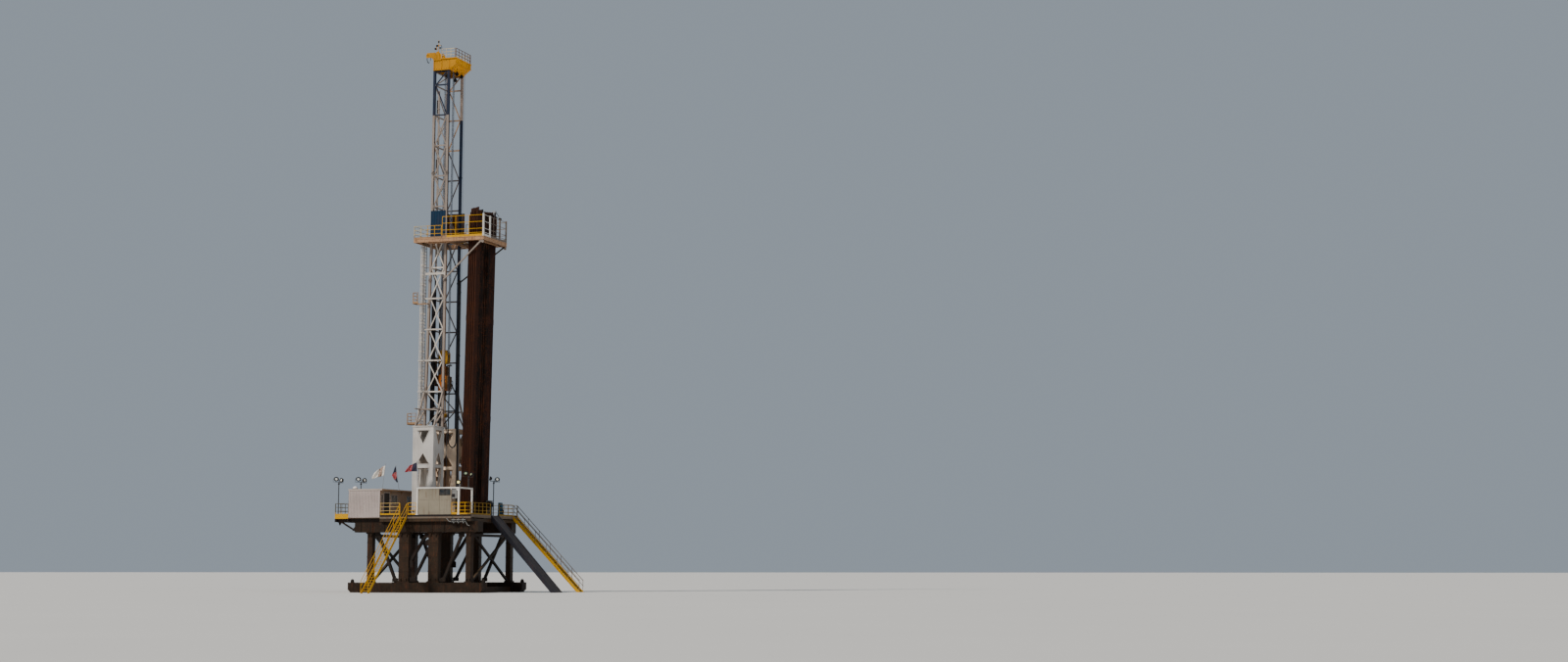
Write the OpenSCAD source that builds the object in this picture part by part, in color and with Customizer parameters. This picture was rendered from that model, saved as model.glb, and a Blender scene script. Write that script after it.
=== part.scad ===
// Land drilling rig, a 1:10 scale model. Sizes are millimetres of the model, so 100 here is one
// metre on the full-size rig and 1 is one centimetre.
// The well is the Z axis, the ground is z = 0 and the pipe ramp runs down towards +X.

/* [Substructure] */
// Height of the drill floor above the ground
floor_h = 700; // [640:5:760]
// Depth of the floor's edge, from its walking surface to its underside
floor_d = 60; // [50:1:80]
// Thickness of the deck slab
deck_t = 25; // [15:1:30]
// End of the drill floor on the ramp side
floor_x1 = 540; // [500:5:600]
// End of the drill floor on the doghouse side
floor_x0 = -372; // [-372:1:-350]
// Half the drill floor's width
floor_y = 500; // [480:5:540]
// Depth of the box beams under the floor
beam_d = 95; // [70:1:120]
// Width of the box beams and base boxes
beam_w = 100; // [80:1:120]
// Distance of the box beams' centre lines from the well
beam_y = 420; // [400:1:430]
// End of the near box beam on the ramp side
beam_x1 = 600; // [560:5:640]
// End of the box beams on the doghouse side
beam_x0 = -640; // [-660:5:-600]
// Height of the base boxes on the ground
base_h = 90; // [60:1:110]
// Width of the main legs, along X
leg_w = 98; // [80:1:110]
// Thickness of the main legs, along Y
leg_t = 60; // [40:1:80]
// Radius of the bore through the rotary table
rotary_r = 34.9; // [20:0.1:45]

/* [Mast] */
// Height of the plated lower columns above the floor
column_h = 818; // [760:1:860]
// Outer face of the plated columns, from the well
column_y = 340; // [300:1:370]
// Thickness of the columns' plates
plate_t = 4; // [2:0.5:6]
// Height of the crown's underside above the drill floor
crown_rise = 4186; // [4100:1:4240]
// Width of a mast leg
mleg_w = 22; // [16:1:26]
// Distance of the mast legs' centre lines from the well, along Y
mleg_y = 140; // [130:1:150]
// Centre line of the front legs, along X
mleg_x1 = 61; // [55:1:61]
// Centre line of the rear legs above the racking board, along X
mleg_x0 = -84; // [-90:1:-84]
// Height of one bay of the lattice
bay = 290; // [280:1:300]
// Number of bays above the splayed transition
bays = 10; // [10:1:10]
// Width of a lattice bar
bar_w = 9; // [5:1:14]

/* [Racking board] */
// Height of the racking board's walking surface above the drill floor
board_h = 2570; // [2540:1:2600]
// Half the board's width
board_y = 250; // [246:1:290]
// Outer end of the board
board_x1 = 500; // [470:1:520]
// Rear end of the board, behind the mast
board_x0 = -215; // [-240:1:-205]
// Pitch of the slots for the drill pipe
slot_pitch = 19; // [19:0.5:20]
// Pipe stands in one slot, on one side
stand_rows = 9; // [6:1:9]
// Slots that hold pipe
stand_slots = 5; // [3:1:5]
// Radius of the drill pipe's body
pipe_r = 7; // [5:0.1:7]
// Radius of its tool joints
joint_r = 8.9; // [8.8:0.05:9]

/* [Hoist] */
// Height of the travelling block's sheave shaft above the drill floor
block_h = 1505; // [1495:1:1520]
// Radius of the block's sheaves
sheave_r = 40; // [34:1:40]
// Number of sheaves in the block and in the crown
sheaves = 5; // [3:1:5]
// Radius of the drilling line
line_r = 1.6; // [1:0.1:2]

/* [Cabins and access] */
// Length of the doghouse
house_l = 900; // [800:10:900]
// Width of the doghouse
house_w = 317; // [300:1:317]
// Height of the doghouse walls above the drill floor
house_h = 228; // [220:1:260]
// Thickness of the doghouse walls
house_t = 6; // [4:0.5:8]
// Number of rises in a flight of stairs
rises = 30; // [26:1:34]
// Width of a flight of stairs
stair_w = 90; // [80:1:100]
// Horizontal length of the near flight
near_run = 700; // [650:10:760]
// Horizontal length of the ramp-side flight
side_run = 680; // [650:10:760]
// Height of the handrails
rail_h = 110; // [95:1:120]
// Height of the wind wall
wind_h = 248; // [240:1:280]

/* [Hidden] */

frame_top = floor_h - floor_d;
beam_z = frame_top - beam_d;
deck_z = floor_h - deck_t;
band_h = 25;
band_z1 = frame_top + band_h;
column_z = floor_h + column_h;
board_z = floor_h + board_h;
crown_z = floor_h + crown_rise;
block_z = floor_h + block_h;
column_x0 = -135;
column_x1 = mleg_x1 + mleg_w / 2;
column_in = mleg_y - mleg_w / 2;
knee_z = column_z + 330;
top_z = knee_z + bays * bay;
fold_bay = 5;
fold_z = knee_z + fold_bay * bay;
rear_splay = mleg_x0 - mleg_w / 2 - column_x0;
crown_h = 104;
crown_top = crown_z + crown_h;
sheave_z = crown_z + 54;
crown_y = 154;
girt_w = bar_w + 4;
guard_x = mleg_x0 - mleg_w / 2 + 14;
leg_x = [-495, -150, 146, 495];
far_beam_x1 = floor_x1 - 5;
house_x1 = floor_x0 - 2;
house_x0 = house_x1 - house_w;
house_y0 = -floor_y;
house_y1 = house_y0 + house_l;
platform_x0 = -832;
skid_z = band_z1 + 5;
house_z = floor_h + house_h;
near_w = stair_w - 18;
stair_x = -133;
stair_y = floor_y - 60;
ramp_w = 160;
ramp_run = 640;
door = [75, 105, 205];
stand_x = 327;
spreader_x = [190, 520];
wall_x0 = -6;
wall_x1 = 420;
wall_y1 = -220;
wall_t = 13;
join = 6;
stand_lean = 0.9;
hose_r = 6;

// A box given by its lowest and highest corners
module blk(lo, hi) {
    translate(lo) cube(hi - lo);
}

// A straight bar of w by d from a to b; d lies in the bar's own upright plane
module bar(a, b, w = 8, d = 8) {
    v = b - a;
    translate(a)
        rotate([0, acos(v.z / norm(v)), atan2(v.y, v.x)])
            translate([-d / 2, -w / 2, 0])
                cube([d, w, norm(v)]);
}

// A round rod from a to b
module rod(a, b, r, sides = 24) {
    v = b - a;
    translate(a)
        rotate([0, acos(v.z / norm(v)), atan2(v.y, v.x)])
            cylinder(r = r, h = norm(v), $fn = sides);
}

// A flat bar in a drawing plane
module flat(a, b, w) {
    v = b - a;
    translate(a)
        rotate(atan2(v.y, v.x))
            translate([0, -w / 2])
                square([norm(v), w]);
}

module both_sides() {
    children();
    mirror([0, 1, 0]) children();
}

// A straight handrail from a to b with n bays: posts, two rails, a top rail and a toe plate
module railing(a, b, n, h = rail_h, toe = 15) {
    for (i = [0:n]) {
        p = a + (b - a) * i / n;
        translate([p.x - 2, p.y - 2, p.z]) cube([4, 4, h]);
    }
    for (z = [h * 0.36, h * 0.68, h - 2])
        bar(a + [0, 0, z], b + [0, 0, z], 4, 4);
    bar(a + [0, 0, toe / 2], b + [0, 0, toe / 2], 2, toe);
}

// Substructure

module base_boxes() {
    color("#4a3c36")
        both_sides()
            difference() {
                blk([beam_x0 - 60, beam_y - beam_w / 2, 0], [beam_x1 + 50, beam_y + beam_w / 2, base_h]);
                for (x = [beam_x0 - 60, beam_x1 + 50])
                    translate([x, beam_y, 0])
                        rotate([0, 45, 0])
                            cube([40, beam_w + 2, 40], center = true);
            }
}

module base_spreaders() {
    color("#3b322e")
        for (s = [-1, 1], d = spreader_x) {
            x = s * d;
            blk([x - 25, -(beam_y - beam_w / 2), 0], [x + 25, beam_y - beam_w / 2, 50]);
        }
}

module substructure_legs() {
    color("#4a3a33")
        both_sides()
            for (i = [0:3]) {
                w = i % 3 == 0 ? leg_w * 0.5 : leg_w;
                blk([leg_x[i] - w / 2, beam_y - leg_t / 2, base_h], [leg_x[i] + w / 2, beam_y + leg_t / 2, beam_z]);
                blk([leg_x[i] - w / 2 - 12, beam_y - leg_t / 2 - 6, base_h],
                    [leg_x[i] + w / 2 + 12, beam_y + leg_t / 2 + 6, base_h + 12]);
                blk([leg_x[i] - w / 2 - 12, beam_y - leg_t / 2 - 6, beam_z - 12],
                    [leg_x[i] + w / 2 + 12, beam_y + leg_t / 2 + 6, beam_z]);
            }
}

// Braces in the planes of the two box beams, trimmed at the base, the beam and the legs, and cross
// bracing between the two sides at the outer legs
module substructure_braces() {
    xa = leg_x[1] + leg_w / 2;
    xb = leg_x[2] - leg_w / 2;
    y = beam_y - leg_t / 2;
    color("#2f2a28") {
        both_sides()
            translate([0, beam_y + 13, 0])
                rotate([90, 0, 0])
                    linear_extrude(26) {
                        intersection() {
                            translate([xa, base_h + 12]) square([xb - xa, beam_z - base_h - 24]);
                            union() {
                                flat([xa - 15, base_h + 160], [xb - 5, beam_z + 20], 26);
                                flat([xa + 20, base_h - 20], [xb + 40, beam_z - 60], 22);
                            }
                        }
                        intersection() {
                            translate([beam_x0, base_h]) square([beam_x1 - beam_x0, beam_z - base_h]);
                            union() {
                                flat([xa - leg_w - 28, base_h - 20], [leg_x[0] + 60, beam_z + 20], 24);
                                flat([xb + leg_w + 28, base_h - 20], [leg_x[3] - 60, beam_z + 20], 24);
                            }
                        }
                    }
        for (x = [leg_x[0], leg_x[3]])
            translate([x - 10, 0, 0])
                rotate([90, 0, 90])
                    linear_extrude(20)
                        intersection() {
                            translate([-y, base_h + 14]) square([2 * y, beam_z - base_h - 28]);
                            union() {
                                flat([-y - 10, base_h], [y + 10, beam_z], 20);
                                flat([y + 10, base_h], [-y - 10, beam_z], 20);
                                translate([-y, beam_z - 40]) square([2 * y, 24]);
                            }
                        }
    }
}

module box_beams() {
    color("#3d302b")
        for (s = [-1, 1]) {
            y = s * beam_y;
            x1 = s < 0 ? beam_x1 : far_beam_x1;
            blk([beam_x0, y - beam_w / 2, beam_z], [x1, y + beam_w / 2, frame_top]);
            for (x = [beam_x0 + 60:120:x1 - 20])
                blk([x, y - beam_w / 2 - 4, beam_z + 6], [x + 6, y + beam_w / 2 + 4, frame_top - 6]);
        }
}

// Edge beams and joists that carry the deck
module floor_frame() {
    color("#cfc3b0") {
        for (s = [-1, 1]) {
            y0 = s * floor_y;
            y1 = s * (floor_y - 24);
            blk([floor_x0, min(y0, y1), frame_top], [floor_x1, max(y0, y1), band_z1]);
        }
        blk([floor_x0, -floor_y, frame_top], [floor_x0 + 24, floor_y, band_z1]);
        blk([floor_x1 - 24, -floor_y, frame_top], [floor_x1, floor_y, band_z1]);
        for (y = [-380, -200, 200, 380])
            blk([floor_x0 + 20, y - 9, frame_top], [floor_x1 - 20, y + 9, deck_z]);
        for (x = [-250, -115, 115, 300, 440])
            blk([x - 9, -floor_y + 20, frame_top], [x + 9, floor_y - 20, deck_z]);
    }
}

module floor_deck() {
    color("#9a8f80")
        difference() {
            blk([floor_x0, -floor_y, deck_z], [floor_x1, floor_y, floor_h]);
            translate([0, 0, deck_z - 1]) cylinder(r = 80.5, h = deck_t + 2, $fn = 96);
        }
}

module rotary_table() {
    color("#5a4436")
        difference() {
            union() {
                translate([0, 0, deck_z]) cylinder(r = 80, h = deck_t, $fn = 96);
                translate([0, 0, floor_h]) cylinder(r = 92, h = 6, $fn = 96);
            }
            translate([0, 0, deck_z - 1]) cylinder(r = rotary_r, h = deck_t + 8, $fn = 96);
        }
}

module setback_mats() {
    color("#574b42")
        both_sides()
            blk([stand_x - 60, 30, floor_h], [stand_x + 70, 210, floor_h + 6]);
}

// Side platform that carries the doghouse

module platform_frame() {
    color("#6b5d52") {
        for (y = [house_y0 + 40, -200, 100, house_y1 - 20])
            blk([platform_x0, y - 10, frame_top], [floor_x0 - 1, y + 10, skid_z]);
        blk([platform_x0, house_y0, frame_top], [platform_x0 + 12, house_y1, skid_z]);
        blk([house_x0 - 14, house_y0 + 2, frame_top], [house_x0 - 4, house_y1, skid_z]);
        for (y = [house_y0 + 40, house_y1 - 20])
            translate([0, y + 6, 0])
                rotate([90, 0, 0])
                    linear_extrude(12)
                        intersection() {
                            translate([platform_x0, beam_z - 60]) square([beam_x0 - platform_x0, frame_top - beam_z + 60 + join]);
                            flat([platform_x0 + 30, frame_top + 2 * join], [beam_x0 + 10, beam_z + 10], 14);
                        }
    }
}

module platform_deck() {
    color("#c9a227") {
        blk([platform_x0, house_y0, skid_z], [house_x0 - 3, house_y1, floor_h]);
    }
}

module doghouse_floor() {
    color("#8b8378")
        blk([house_x0 + house_t, house_y0 + house_t, skid_z], [house_x1 - house_t, house_y1 - house_t, floor_h]);
}

// Side walls, with the doorway and windows of the mast side cut through
module doghouse_side_walls() {
    color("#d8cdc2") {
        blk([house_x0, house_y0 + house_t, skid_z], [house_x0 + house_t, house_y1 - house_t, house_z]);
        difference() {
            blk([house_x1 - house_t, house_y0 + house_t, skid_z], [house_x1, house_y1 - house_t, house_z]);
            blk([house_x1 - house_t - 1, house_y0 + door.x, floor_h],
                [house_x1 + 1, house_y0 + door.x + door.y, floor_h + door.z]);
            for (y = window_y())
                blk([house_x1 - house_t - 1, y.x, floor_h + 110], [house_x1 + 1, y.y, floor_h + 185]);
        }
    }
}

function window_y() = [
    [house_y0 + 18, house_y0 + 55],
    [house_y0 + 210, house_y0 + 330],
    [house_y0 + 520, house_y0 + 640]
];

module doghouse_end_walls() {
    color("#d8cdc2")
        for (y = [house_y0, house_y1 - house_t])
            blk([house_x0, y, skid_z], [house_x1, y + house_t, house_z]);
}

module doghouse_roof() {
    color("#c4b8ab") {
        blk([house_x0 - 4, house_y0 - 4, house_z], [house_x1 + 22, house_y1 + 4, house_z + 10]);
        blk([house_x0 + 20, house_y0 + 8, house_z + 10], [house_x0 + 70, house_y0 + 58, house_z + 14]);
        translate([house_x0 + 45, house_y0 + 33, house_z + 14])
            difference() {
                sphere(r = 24, $fn = 32);
                translate([-30, -30, -30]) cube([60, 60, 30]);
            }
    }
}

module doghouse_door() {
    color("#3a3f45")
        blk([house_x1 - house_t, house_y0 + door.x + 1, floor_h],
            [house_x1 - house_t + 4, house_y0 + door.x + door.y - 1, floor_h + door.z - 1]);
}

module doghouse_windows() {
    color([0.15, 0.18, 0.2, 0.6])
        for (y = window_y())
            blk([house_x1 - house_t + 1, y.x, floor_h + 110], [house_x1 - house_t + 4, y.y, floor_h + 185]);
}

// Wind wall on the near edge of the floor, with a short return on the ramp side
module wind_wall_frame() {
    z1 = floor_h + wind_h;
    t = wall_t;
    y = -floor_y;
    xr = wall_x1 - t;
    xp = wall_x0 + t + 329;
    color("#e6e2da") {
        for (x = [wall_x0, xr])
            blk([x, y, floor_h], [x + t, y + t, z1]);
        blk([xr, wall_y1 - t, floor_h], [wall_x1, wall_y1, z1]);
        blk([xp, y + 2, floor_h], [xp + 6, y + 11, z1 - t / 2]);
        blk([wall_x0, y, z1 - t], [wall_x1, y + t, z1]);
        blk([xr, y, z1 - t], [wall_x1, wall_y1, z1]);
    }
}

module wind_wall_panel() {
    z1 = floor_h + wind_h - wall_t;
    x0 = wall_x0 + wall_t;
    y = -floor_y + 4;
    color("#a9a79f") {
        difference() {
            blk([x0, y, floor_h], [x0 + 329, y + 4, z1]);
            blk([x0 + 218, y - 1, z1 - 56], [x0 + 321, y + 5, z1 - 8]);
        }
        blk([x0 + 218, y + 1, z1 - 56], [x0 + 321, y + 3, z1 - 8]);
    }
}

// Handrails round the floor and the side platform
module floor_rails() {
    y = floor_y - 3;
    z = floor_h;
    color("#d9a514") {
        railing([floor_x0 + 4, -y, z], [stair_x - near_w / 2 - 8, -y, z], 2);
        railing([stair_x + near_w / 2 + 8, -y, z], [-12, -y, z], 1);
        railing([346, -y + 2, z], [403, -y + 2, z], 1, toe = 22);
        railing([424, -y, z], [floor_x1 - 8, -y, z], 2);
        railing([floor_x1 - 3, -y + 5, z], [floor_x1 - 3, -ramp_w / 2 - 14, z], 5);
        railing([floor_x1 - 3, ramp_w / 2 + 14, z], [floor_x1 - 3, stair_y - stair_w / 2 - 8, z], 3);
        railing([floor_x0 + 4, y, z], [floor_x1 - 8, y, z], 10);
        railing([platform_x0 + 3, house_y0 + 8, z], [platform_x0 + 3, house_y1 - 8, z], 10);
        railing([platform_x0 + 3, house_y0 + 3, z], [house_x0 - 6, house_y0 + 3, z], 2);
        railing([platform_x0 + 3, house_y1 - 3, z], [house_x0 - 6, house_y1 - 3, z], 2);
    }
}

module control_cabinet() {
    color("#d7d6d0") {
        blk([397, 110, floor_h], [437, 160, floor_h + 140]);
        blk([394, 107, floor_h + 140], [440, 163, floor_h + 144]);
    }
}

// A flight from the origin's edge down along +X: treads between two sides
module treads(run, w) {
    rise = floor_h / rises;
    go = run / rises;
    for (i = [1:rises - 1])
        translate([(i - 1) * go, -w / 2 + 3, floor_h - i * rise - 3])
            cube([go + 2, w - 6, 3]);
}

module flight_sides(run, w) {
    for (s = [-1, 1])
        translate([0, s * (w / 2 - 1.5) + 1.5, 0])
            rotate([90, 0, 0])
                linear_extrude(3)
                    intersection() {
                        square([run + 40, floor_h + rail_h + 10]);
                        union() {
                            flat([-30, floor_h - 12 + 30 * floor_h / run], [run + 30, -12 - 30 * floor_h / run], 26);
                            flat([0, floor_h + rail_h - 6], [run, rail_h - 6], 6);
                            flat([0, floor_h + rail_h * 0.5], [run, rail_h * 0.5], 4);
                            for (i = [0:6])
                                translate([2 + (run - 8) * i / 6, floor_h * (1 - i / 6) - 10 * min(1, 6 - i)])
                                    square([4, rail_h + 5]);
                        }
                    }
}

module near_stair() {
    translate([stair_x, -floor_y, 0])
        rotate([0, 0, -90])
            children();
}

module ramp_stair() {
    translate([floor_x1, stair_y, 0])
        children();
}

module stair_treads() {
    color("#b9a67c") {
        near_stair() treads(near_run, near_w);
        ramp_stair() treads(side_run, stair_w);
    }
}

module stair_sides() {
    color("#e0a90f") {
        near_stair() flight_sides(near_run, near_w);
        ramp_stair() flight_sides(side_run, stair_w);
    }
}

// Sloping pipe ramp from the floor's edge to the ground
module pipe_ramp() {
    color("#3f4147")
        translate([floor_x1, ramp_w / 2, 0])
            rotate([90, 0, 0]) {
                for (y = [0, ramp_w - 18])
                    translate([0, 0, y])
                        linear_extrude(18)
                            polygon([[0, floor_h], [8, floor_h], [ramp_run + 8, 0], [ramp_run - 40, 0], [0, floor_h - 50]]);
                translate([0, 0, 10])
                    linear_extrude(ramp_w - 20)
                        polygon([[0, floor_h - 4], [6, floor_h - 4], [ramp_run + 4, 0], [ramp_run - 4, 0],
                                 [0, floor_h - 12]]);
                for (i = [1:6])
                    translate([ramp_run * i / 7 - 20, floor_h * (1 - i / 7) - 20, 10])
                        linear_extrude(ramp_w - 20)
                            polygon([[0, 0], [10, 0], [10, 8], [0, 16]]);
            }
}

// Mast

// Outline of the openings in a column's broad faces, in face coordinates (across, height): a
// triangle on its point, one on its base and a tapered window, as depths below the column's top
cut_depths = [40, 165, 248, 350, 385, 560];

module column_cuts(x0, x1) {
    m = (x0 + x1) / 2;
    w = (x1 - x0) * 0.31;
    z = [for (d = cut_depths) column_z - d];
    polygon([[m - w, z[0]], [m + w, z[0]], [m, z[1]]]);
    polygon([[m, z[2]], [m + w, z[3]], [m - w, z[3]]]);
    polygon([[m - w, z[4]], [m + w, z[4]], [m + w * 0.6, z[5]], [m - w * 0.6, z[5]]]);
}

module mast_column() {
    x0 = column_x0;
    x1 = column_x1;
    y0 = column_in;
    y1 = column_y;
    difference() {
        blk([x0, y0, floor_h], [x1, y1, column_z]);
        blk([x0 + plate_t, y0 + plate_t, floor_h + 8], [x1 - plate_t, y1 - plate_t, column_z - 8]);
        translate([0, y1 + 1, 0])
            rotate([90, 0, 0])
                linear_extrude(y1 - y0 + 2)
                    column_cuts(x0, x1);
        translate([x0 - 1, 0, 0])
            rotate([90, 0, 90])
                linear_extrude(x1 - x0 + 2)
                    column_cuts(y0 + 20, y1 - 20);
    }
}

module mast_columns() {
    color("#cfd0d0") both_sides() mast_column();
}

// Beams that tie the two columns together behind the well, with crossed bars between them
tie_z = [floor_h + 330, column_z - 90];
tie_h = 40;

module column_ties() {
    color("#b8b2a6") {
        for (z = tie_z)
            blk([column_x0 + 15, -column_in, z], [column_x0 + 50, column_in, z + tie_h]);
        translate([column_x0 + 28, 0, 0])
            rotate([90, 0, 90])
                linear_extrude(10)
                    intersection() {
                        translate([-column_in, tie_z[0] + tie_h - join])
                            square([2 * column_in, tie_z[1] - tie_z[0] - tie_h + 2 * join]);
                        union() {
                            flat([-column_in, tie_z[0] + tie_h - 10], [column_in, tie_z[1] + 10], 12);
                            flat([column_in, tie_z[0] + tie_h - 10], [-column_in, tie_z[1] + 10], 12);
                        }
                    }
    }
}

// Splayed bars between the columns' tops and the upper legs
module mast_knees() {
    z0 = column_z;
    z1 = knee_z;
    xs = [column_x0 + 12, mleg_x1 + mleg_w / 2 - 6];
    color("#cbbfae")
        both_sides() {
            for (x = xs)
                translate([x + 6, 0, 0])
                    rotate([90, 0, -90])
                        linear_extrude(12)
                            intersection() {
                                translate([-column_y, z0]) square([column_y - mleg_y - mleg_w / 2, z1 - z0]);
                                mirror([1, 0])
                                    union() {
                                        flat([column_y - 10, z0 - 20], [mleg_y + 5, z1 + 20], 16);
                                        flat([mleg_y, z0 + 160], [column_y, z0 + 160], 10);
                                        flat([mleg_y, z0 + 155], [column_y - 15, z0 - 10], 9);
                                    }
                            }
            for (z = [z0 + 155])
                blk([xs[0] + 6, knee_y(z) - 10, z], [xs[1] - 6, knee_y(z) + 2, z + 10]);
        }
}

function knee_y(z) = column_y - 10 - (z + 20 - column_z) * (column_y - 15 - mleg_y) / (knee_z - column_z + 40);

// The front legs are straight; the rear legs lean in from the columns as far as fold_z
module mast_legs() {
    r = mleg_x0 - mleg_w / 2;
    color("#cbbfae")
        for (y = [-mleg_y, mleg_y]) {
            translate([mleg_x1 - mleg_w / 2, y - mleg_w / 2, column_z])
                cube([mleg_w, mleg_w, crown_z - column_z]);
            translate([0, y + mleg_w / 2, 0])
                rotate([90, 0, 0])
                    linear_extrude(mleg_w)
                        polygon([[column_x0, column_z], [column_x0 + mleg_w, column_z], [r + mleg_w, fold_z],
                                 [r + mleg_w, crown_z], [r, crown_z], [r, fold_z]]);
        }
}

// How far the rear legs stand behind their upper place at height z
function splay(z) = rear_splay * max(0, fold_z - z) / (fold_z - column_z);

// Flat lattice between two legs: across from a to b, one cell for each bay. The side at a leans
// out by splay(z) times lean. A folded zigzag turns round at the fold, over a crossed bay.
module lattice(a, b, style, lean = 0) {
    z0 = column_z;
    function p(z) = [a - lean * splay(z), z];
    linear_extrude(8)
        intersection() {
            polygon([p(z0), [b, z0], [b, crown_z], p(crown_z), p(fold_z)]);
            union() {
                translate([p(z0).x, z0 + 160]) square([b - p(z0).x, girt_w]);
                flat(p(z0), [b, z0 + 165], bar_w);
                flat([b, z0 + 165], p(knee_z), bar_w);
                for (k = [0:bays])
                    translate([p(z0).x, knee_z + k * bay - girt_w / 2]) square([b - p(z0).x, girt_w]);
                translate([a, crown_z - 14]) square([b - a, 14]);
                for (k = [0:bays - 1]) {
                    z = knee_z + k * bay;
                    up = (style == "folded" && k < fold_bay ? k + 1 : k) % 2 == 0;
                    both = style == "cross" && k < bays - 1 || style == "folded" && k == fold_bay - 1;
                    if (both || up)
                        flat(p(z), [b, z + bay], bar_w);
                    if (both || !up)
                        flat([b, z], p(z + bay), bar_w);
                }
                flat([a, top_z], [b, crown_z], bar_w);
            }
        }
}

module near_lattice() {
    color("#d2c6b4")
        translate([0, -mleg_y + 4, 0])
            rotate([90, 0, 0])
                lattice(mleg_x0 + mleg_w / 2, mleg_x1 - mleg_w / 2, "cross", 1);
}

module far_lattice() {
    color("#b9ae9e")
        translate([0, mleg_y + 4, 0])
            rotate([90, 0, 0])
                lattice(mleg_x0 + mleg_w / 2, mleg_x1 - mleg_w / 2, "folded", 1);
}

// Upright above the fold, and leaning with the rear legs below it
module rear_lattice() {
    w = mleg_y - mleg_w / 2;
    lean = atan(rear_splay / (fold_z - column_z));
    color("#c4b8a7") {
        intersection() {
            rear_sheet(w);
            blk([mleg_x0 - 20, -w, fold_z - 3], [mleg_x0 + 20, w, crown_z]);
        }
        translate([mleg_x0, 0, fold_z])
            rotate([0, lean, 0])
                translate([-mleg_x0, 0, -fold_z])
                    intersection() {
                        rear_sheet(w);
                        blk([mleg_x0 - 20, -w, column_z + 2], [mleg_x0 + 20, w, fold_z]);
                    }
    }
}

module rear_sheet(w) {
    translate([mleg_x0 - 4, 0, 0])
        rotate([90, 0, 90])
            lattice(-w, w, "zigzag");
}

// Sheet panels that shelter the racking board
module wind_panels() {
    y = mleg_y + mleg_w / 2;
    color("#1d3557")
        blk([mleg_x0 - 8, -y - 3, board_z + 2], [mleg_x1 - 2, -y, board_z + 275]);
    color("#5a3f31")
        blk([mleg_x0 - 8, y, board_z + 2], [mleg_x1 + 44, y + 3, board_z + 290]);
}

// Two rails that the dolly runs on, held by brackets from the ties and from the rear lattice
module guide_rails() {
    x = mleg_x0 + 4;
    color("#23262b")
        both_sides() {
            blk([x, 66, tie_z[0]], [x + 16, 74, top_z - 40]);
            for (z = [tie_z[0] + 10, tie_z[1] + 10])
                blk([column_x0 + 50, 66, z], [x, 74, z + 20]);
            for (k = [0:4])
                blk([x - splay(knee_z + k * bay + 4), 66, knee_z + k * bay - 4], [x, 74, knee_z + k * bay + 4]);
        }
}

// Pipe up the far front leg, with its gooseneck
neck_drop = 370;
neck_z = board_z - neck_drop;

module standpipe() {
    x = mleg_x1 + mleg_w / 2 + 8;
    color("#2b2e33") {
        rod([x, mleg_y, floor_h], [x, mleg_y, neck_z], 6);
        translate([x, mleg_y - 16, neck_z])
            rotate([90, 0, 90])
                rotate_extrude(angle = 180, $fn = 48)
                    translate([16, 0]) circle(r = 6, $fn = 24);
        for (z = [floor_h + 300:600:neck_z - 100])
            blk([mleg_x1 + mleg_w / 2, mleg_y - 4, z], [x + 8, mleg_y + 4, z + 8]);
    }
}

// Ladder behind the mast's near rear leg

ladder_x = column_x0 - 10;
ladder_y = -mleg_y;
cage_r = 28;

// Its standoffs reach the plated column below and the leaning leg above
module ladder() {
    color("#d6cfc2") {
        for (y = [ladder_y - 22, ladder_y + 22])
            blk([ladder_x - 2, y - 2, floor_h], [ladder_x + 2, y + 2, board_z]);
        for (z = [floor_h + 30:30:board_z - 10])
            blk([ladder_x - 1.5, ladder_y - 21, z], [ladder_x + 1.5, ladder_y + 21, z + 3]);
        for (z = [each [floor_h + 100:340:column_z - 10], each [knee_z:bay:board_z - 60]]) {
            x = z < column_z ? column_x0 : mleg_x0 - mleg_w / 2 - splay(z);
            blk([ladder_x - 1, ladder_y - 22, z], [ladder_x + 4, ladder_y + 22, z + 4]);
            blk([ladder_x, ladder_y - 3, z], [x, ladder_y + 3, z + 4]);
        }
    }
}

module ladder_cage() {
    r = cage_r;
    color("#e6dfd2")
        difference() {
            union() {
                for (z = [floor_h + 260:90:board_z - 60])
                    translate([ladder_x - 2 - r * 0.6, ladder_y, z])
                        difference() {
                            cylinder(r = r, h = 5, $fn = 48);
                            translate([0, 0, -1]) cylinder(r = r - 2, h = 7, $fn = 48);
                        }
                for (a = [-60:60:60])
                    translate([ladder_x - 2 - r * 0.6, ladder_y, floor_h + 260])
                        rotate([0, 0, a])
                            translate([-r, -2, 0]) cube([2, 4, board_z - floor_h - 320]);
            }
            blk([ladder_x - 2, ladder_y - 40, floor_h], [ladder_x + 60, ladder_y + 40, board_z]);
        }
}

// Rest platforms behind the ladder. The lower one's arm stands on the column, the upper one's
// clasps the leg.
rest_rises = [32, 1160];
rest_x0 = [-285, -250];

module ladder_platforms() {
    y = ladder_y - 42;
    low = column_z + rest_rises[0];
    high = column_z + rest_rises[1];
    color("#d6b64a") {
        for (k = [0, 1]) {
            z = column_z + rest_rises[k];
            x = rest_x0[k];
            x1 = ladder_x - 2 - cage_r * 1.6 - 2;
            blk([x, y, z - 5], [x1, ladder_y + 42, z]);
            railing([x + 3, y + 3, z], [x + 3, ladder_y + 39, z], 1, 100);
            railing([x + 8, y + 3, z], [x1 - 2, y + 3, z], 1, 100);
        }
        blk([-200, y, low - 15], [column_x0 + 4, y + 6, low - 5]);
        blk([column_x0, y, column_z], [column_x0 + 4, y + 6, low - 5]);
        blk([-200, y, high - 15], [-98, y + 6, high - 5]);
        blk([-106, y, high - 15], [-98, -mleg_y - mleg_w / 2, high - 5]);
    }
}

// Racking board

board_t = 35;
finger_x0 = 100;
leg_side = mleg_y + mleg_w / 2;
finger_x1 = 420;
finger_in = 45;
finger_out = 214;

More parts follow.
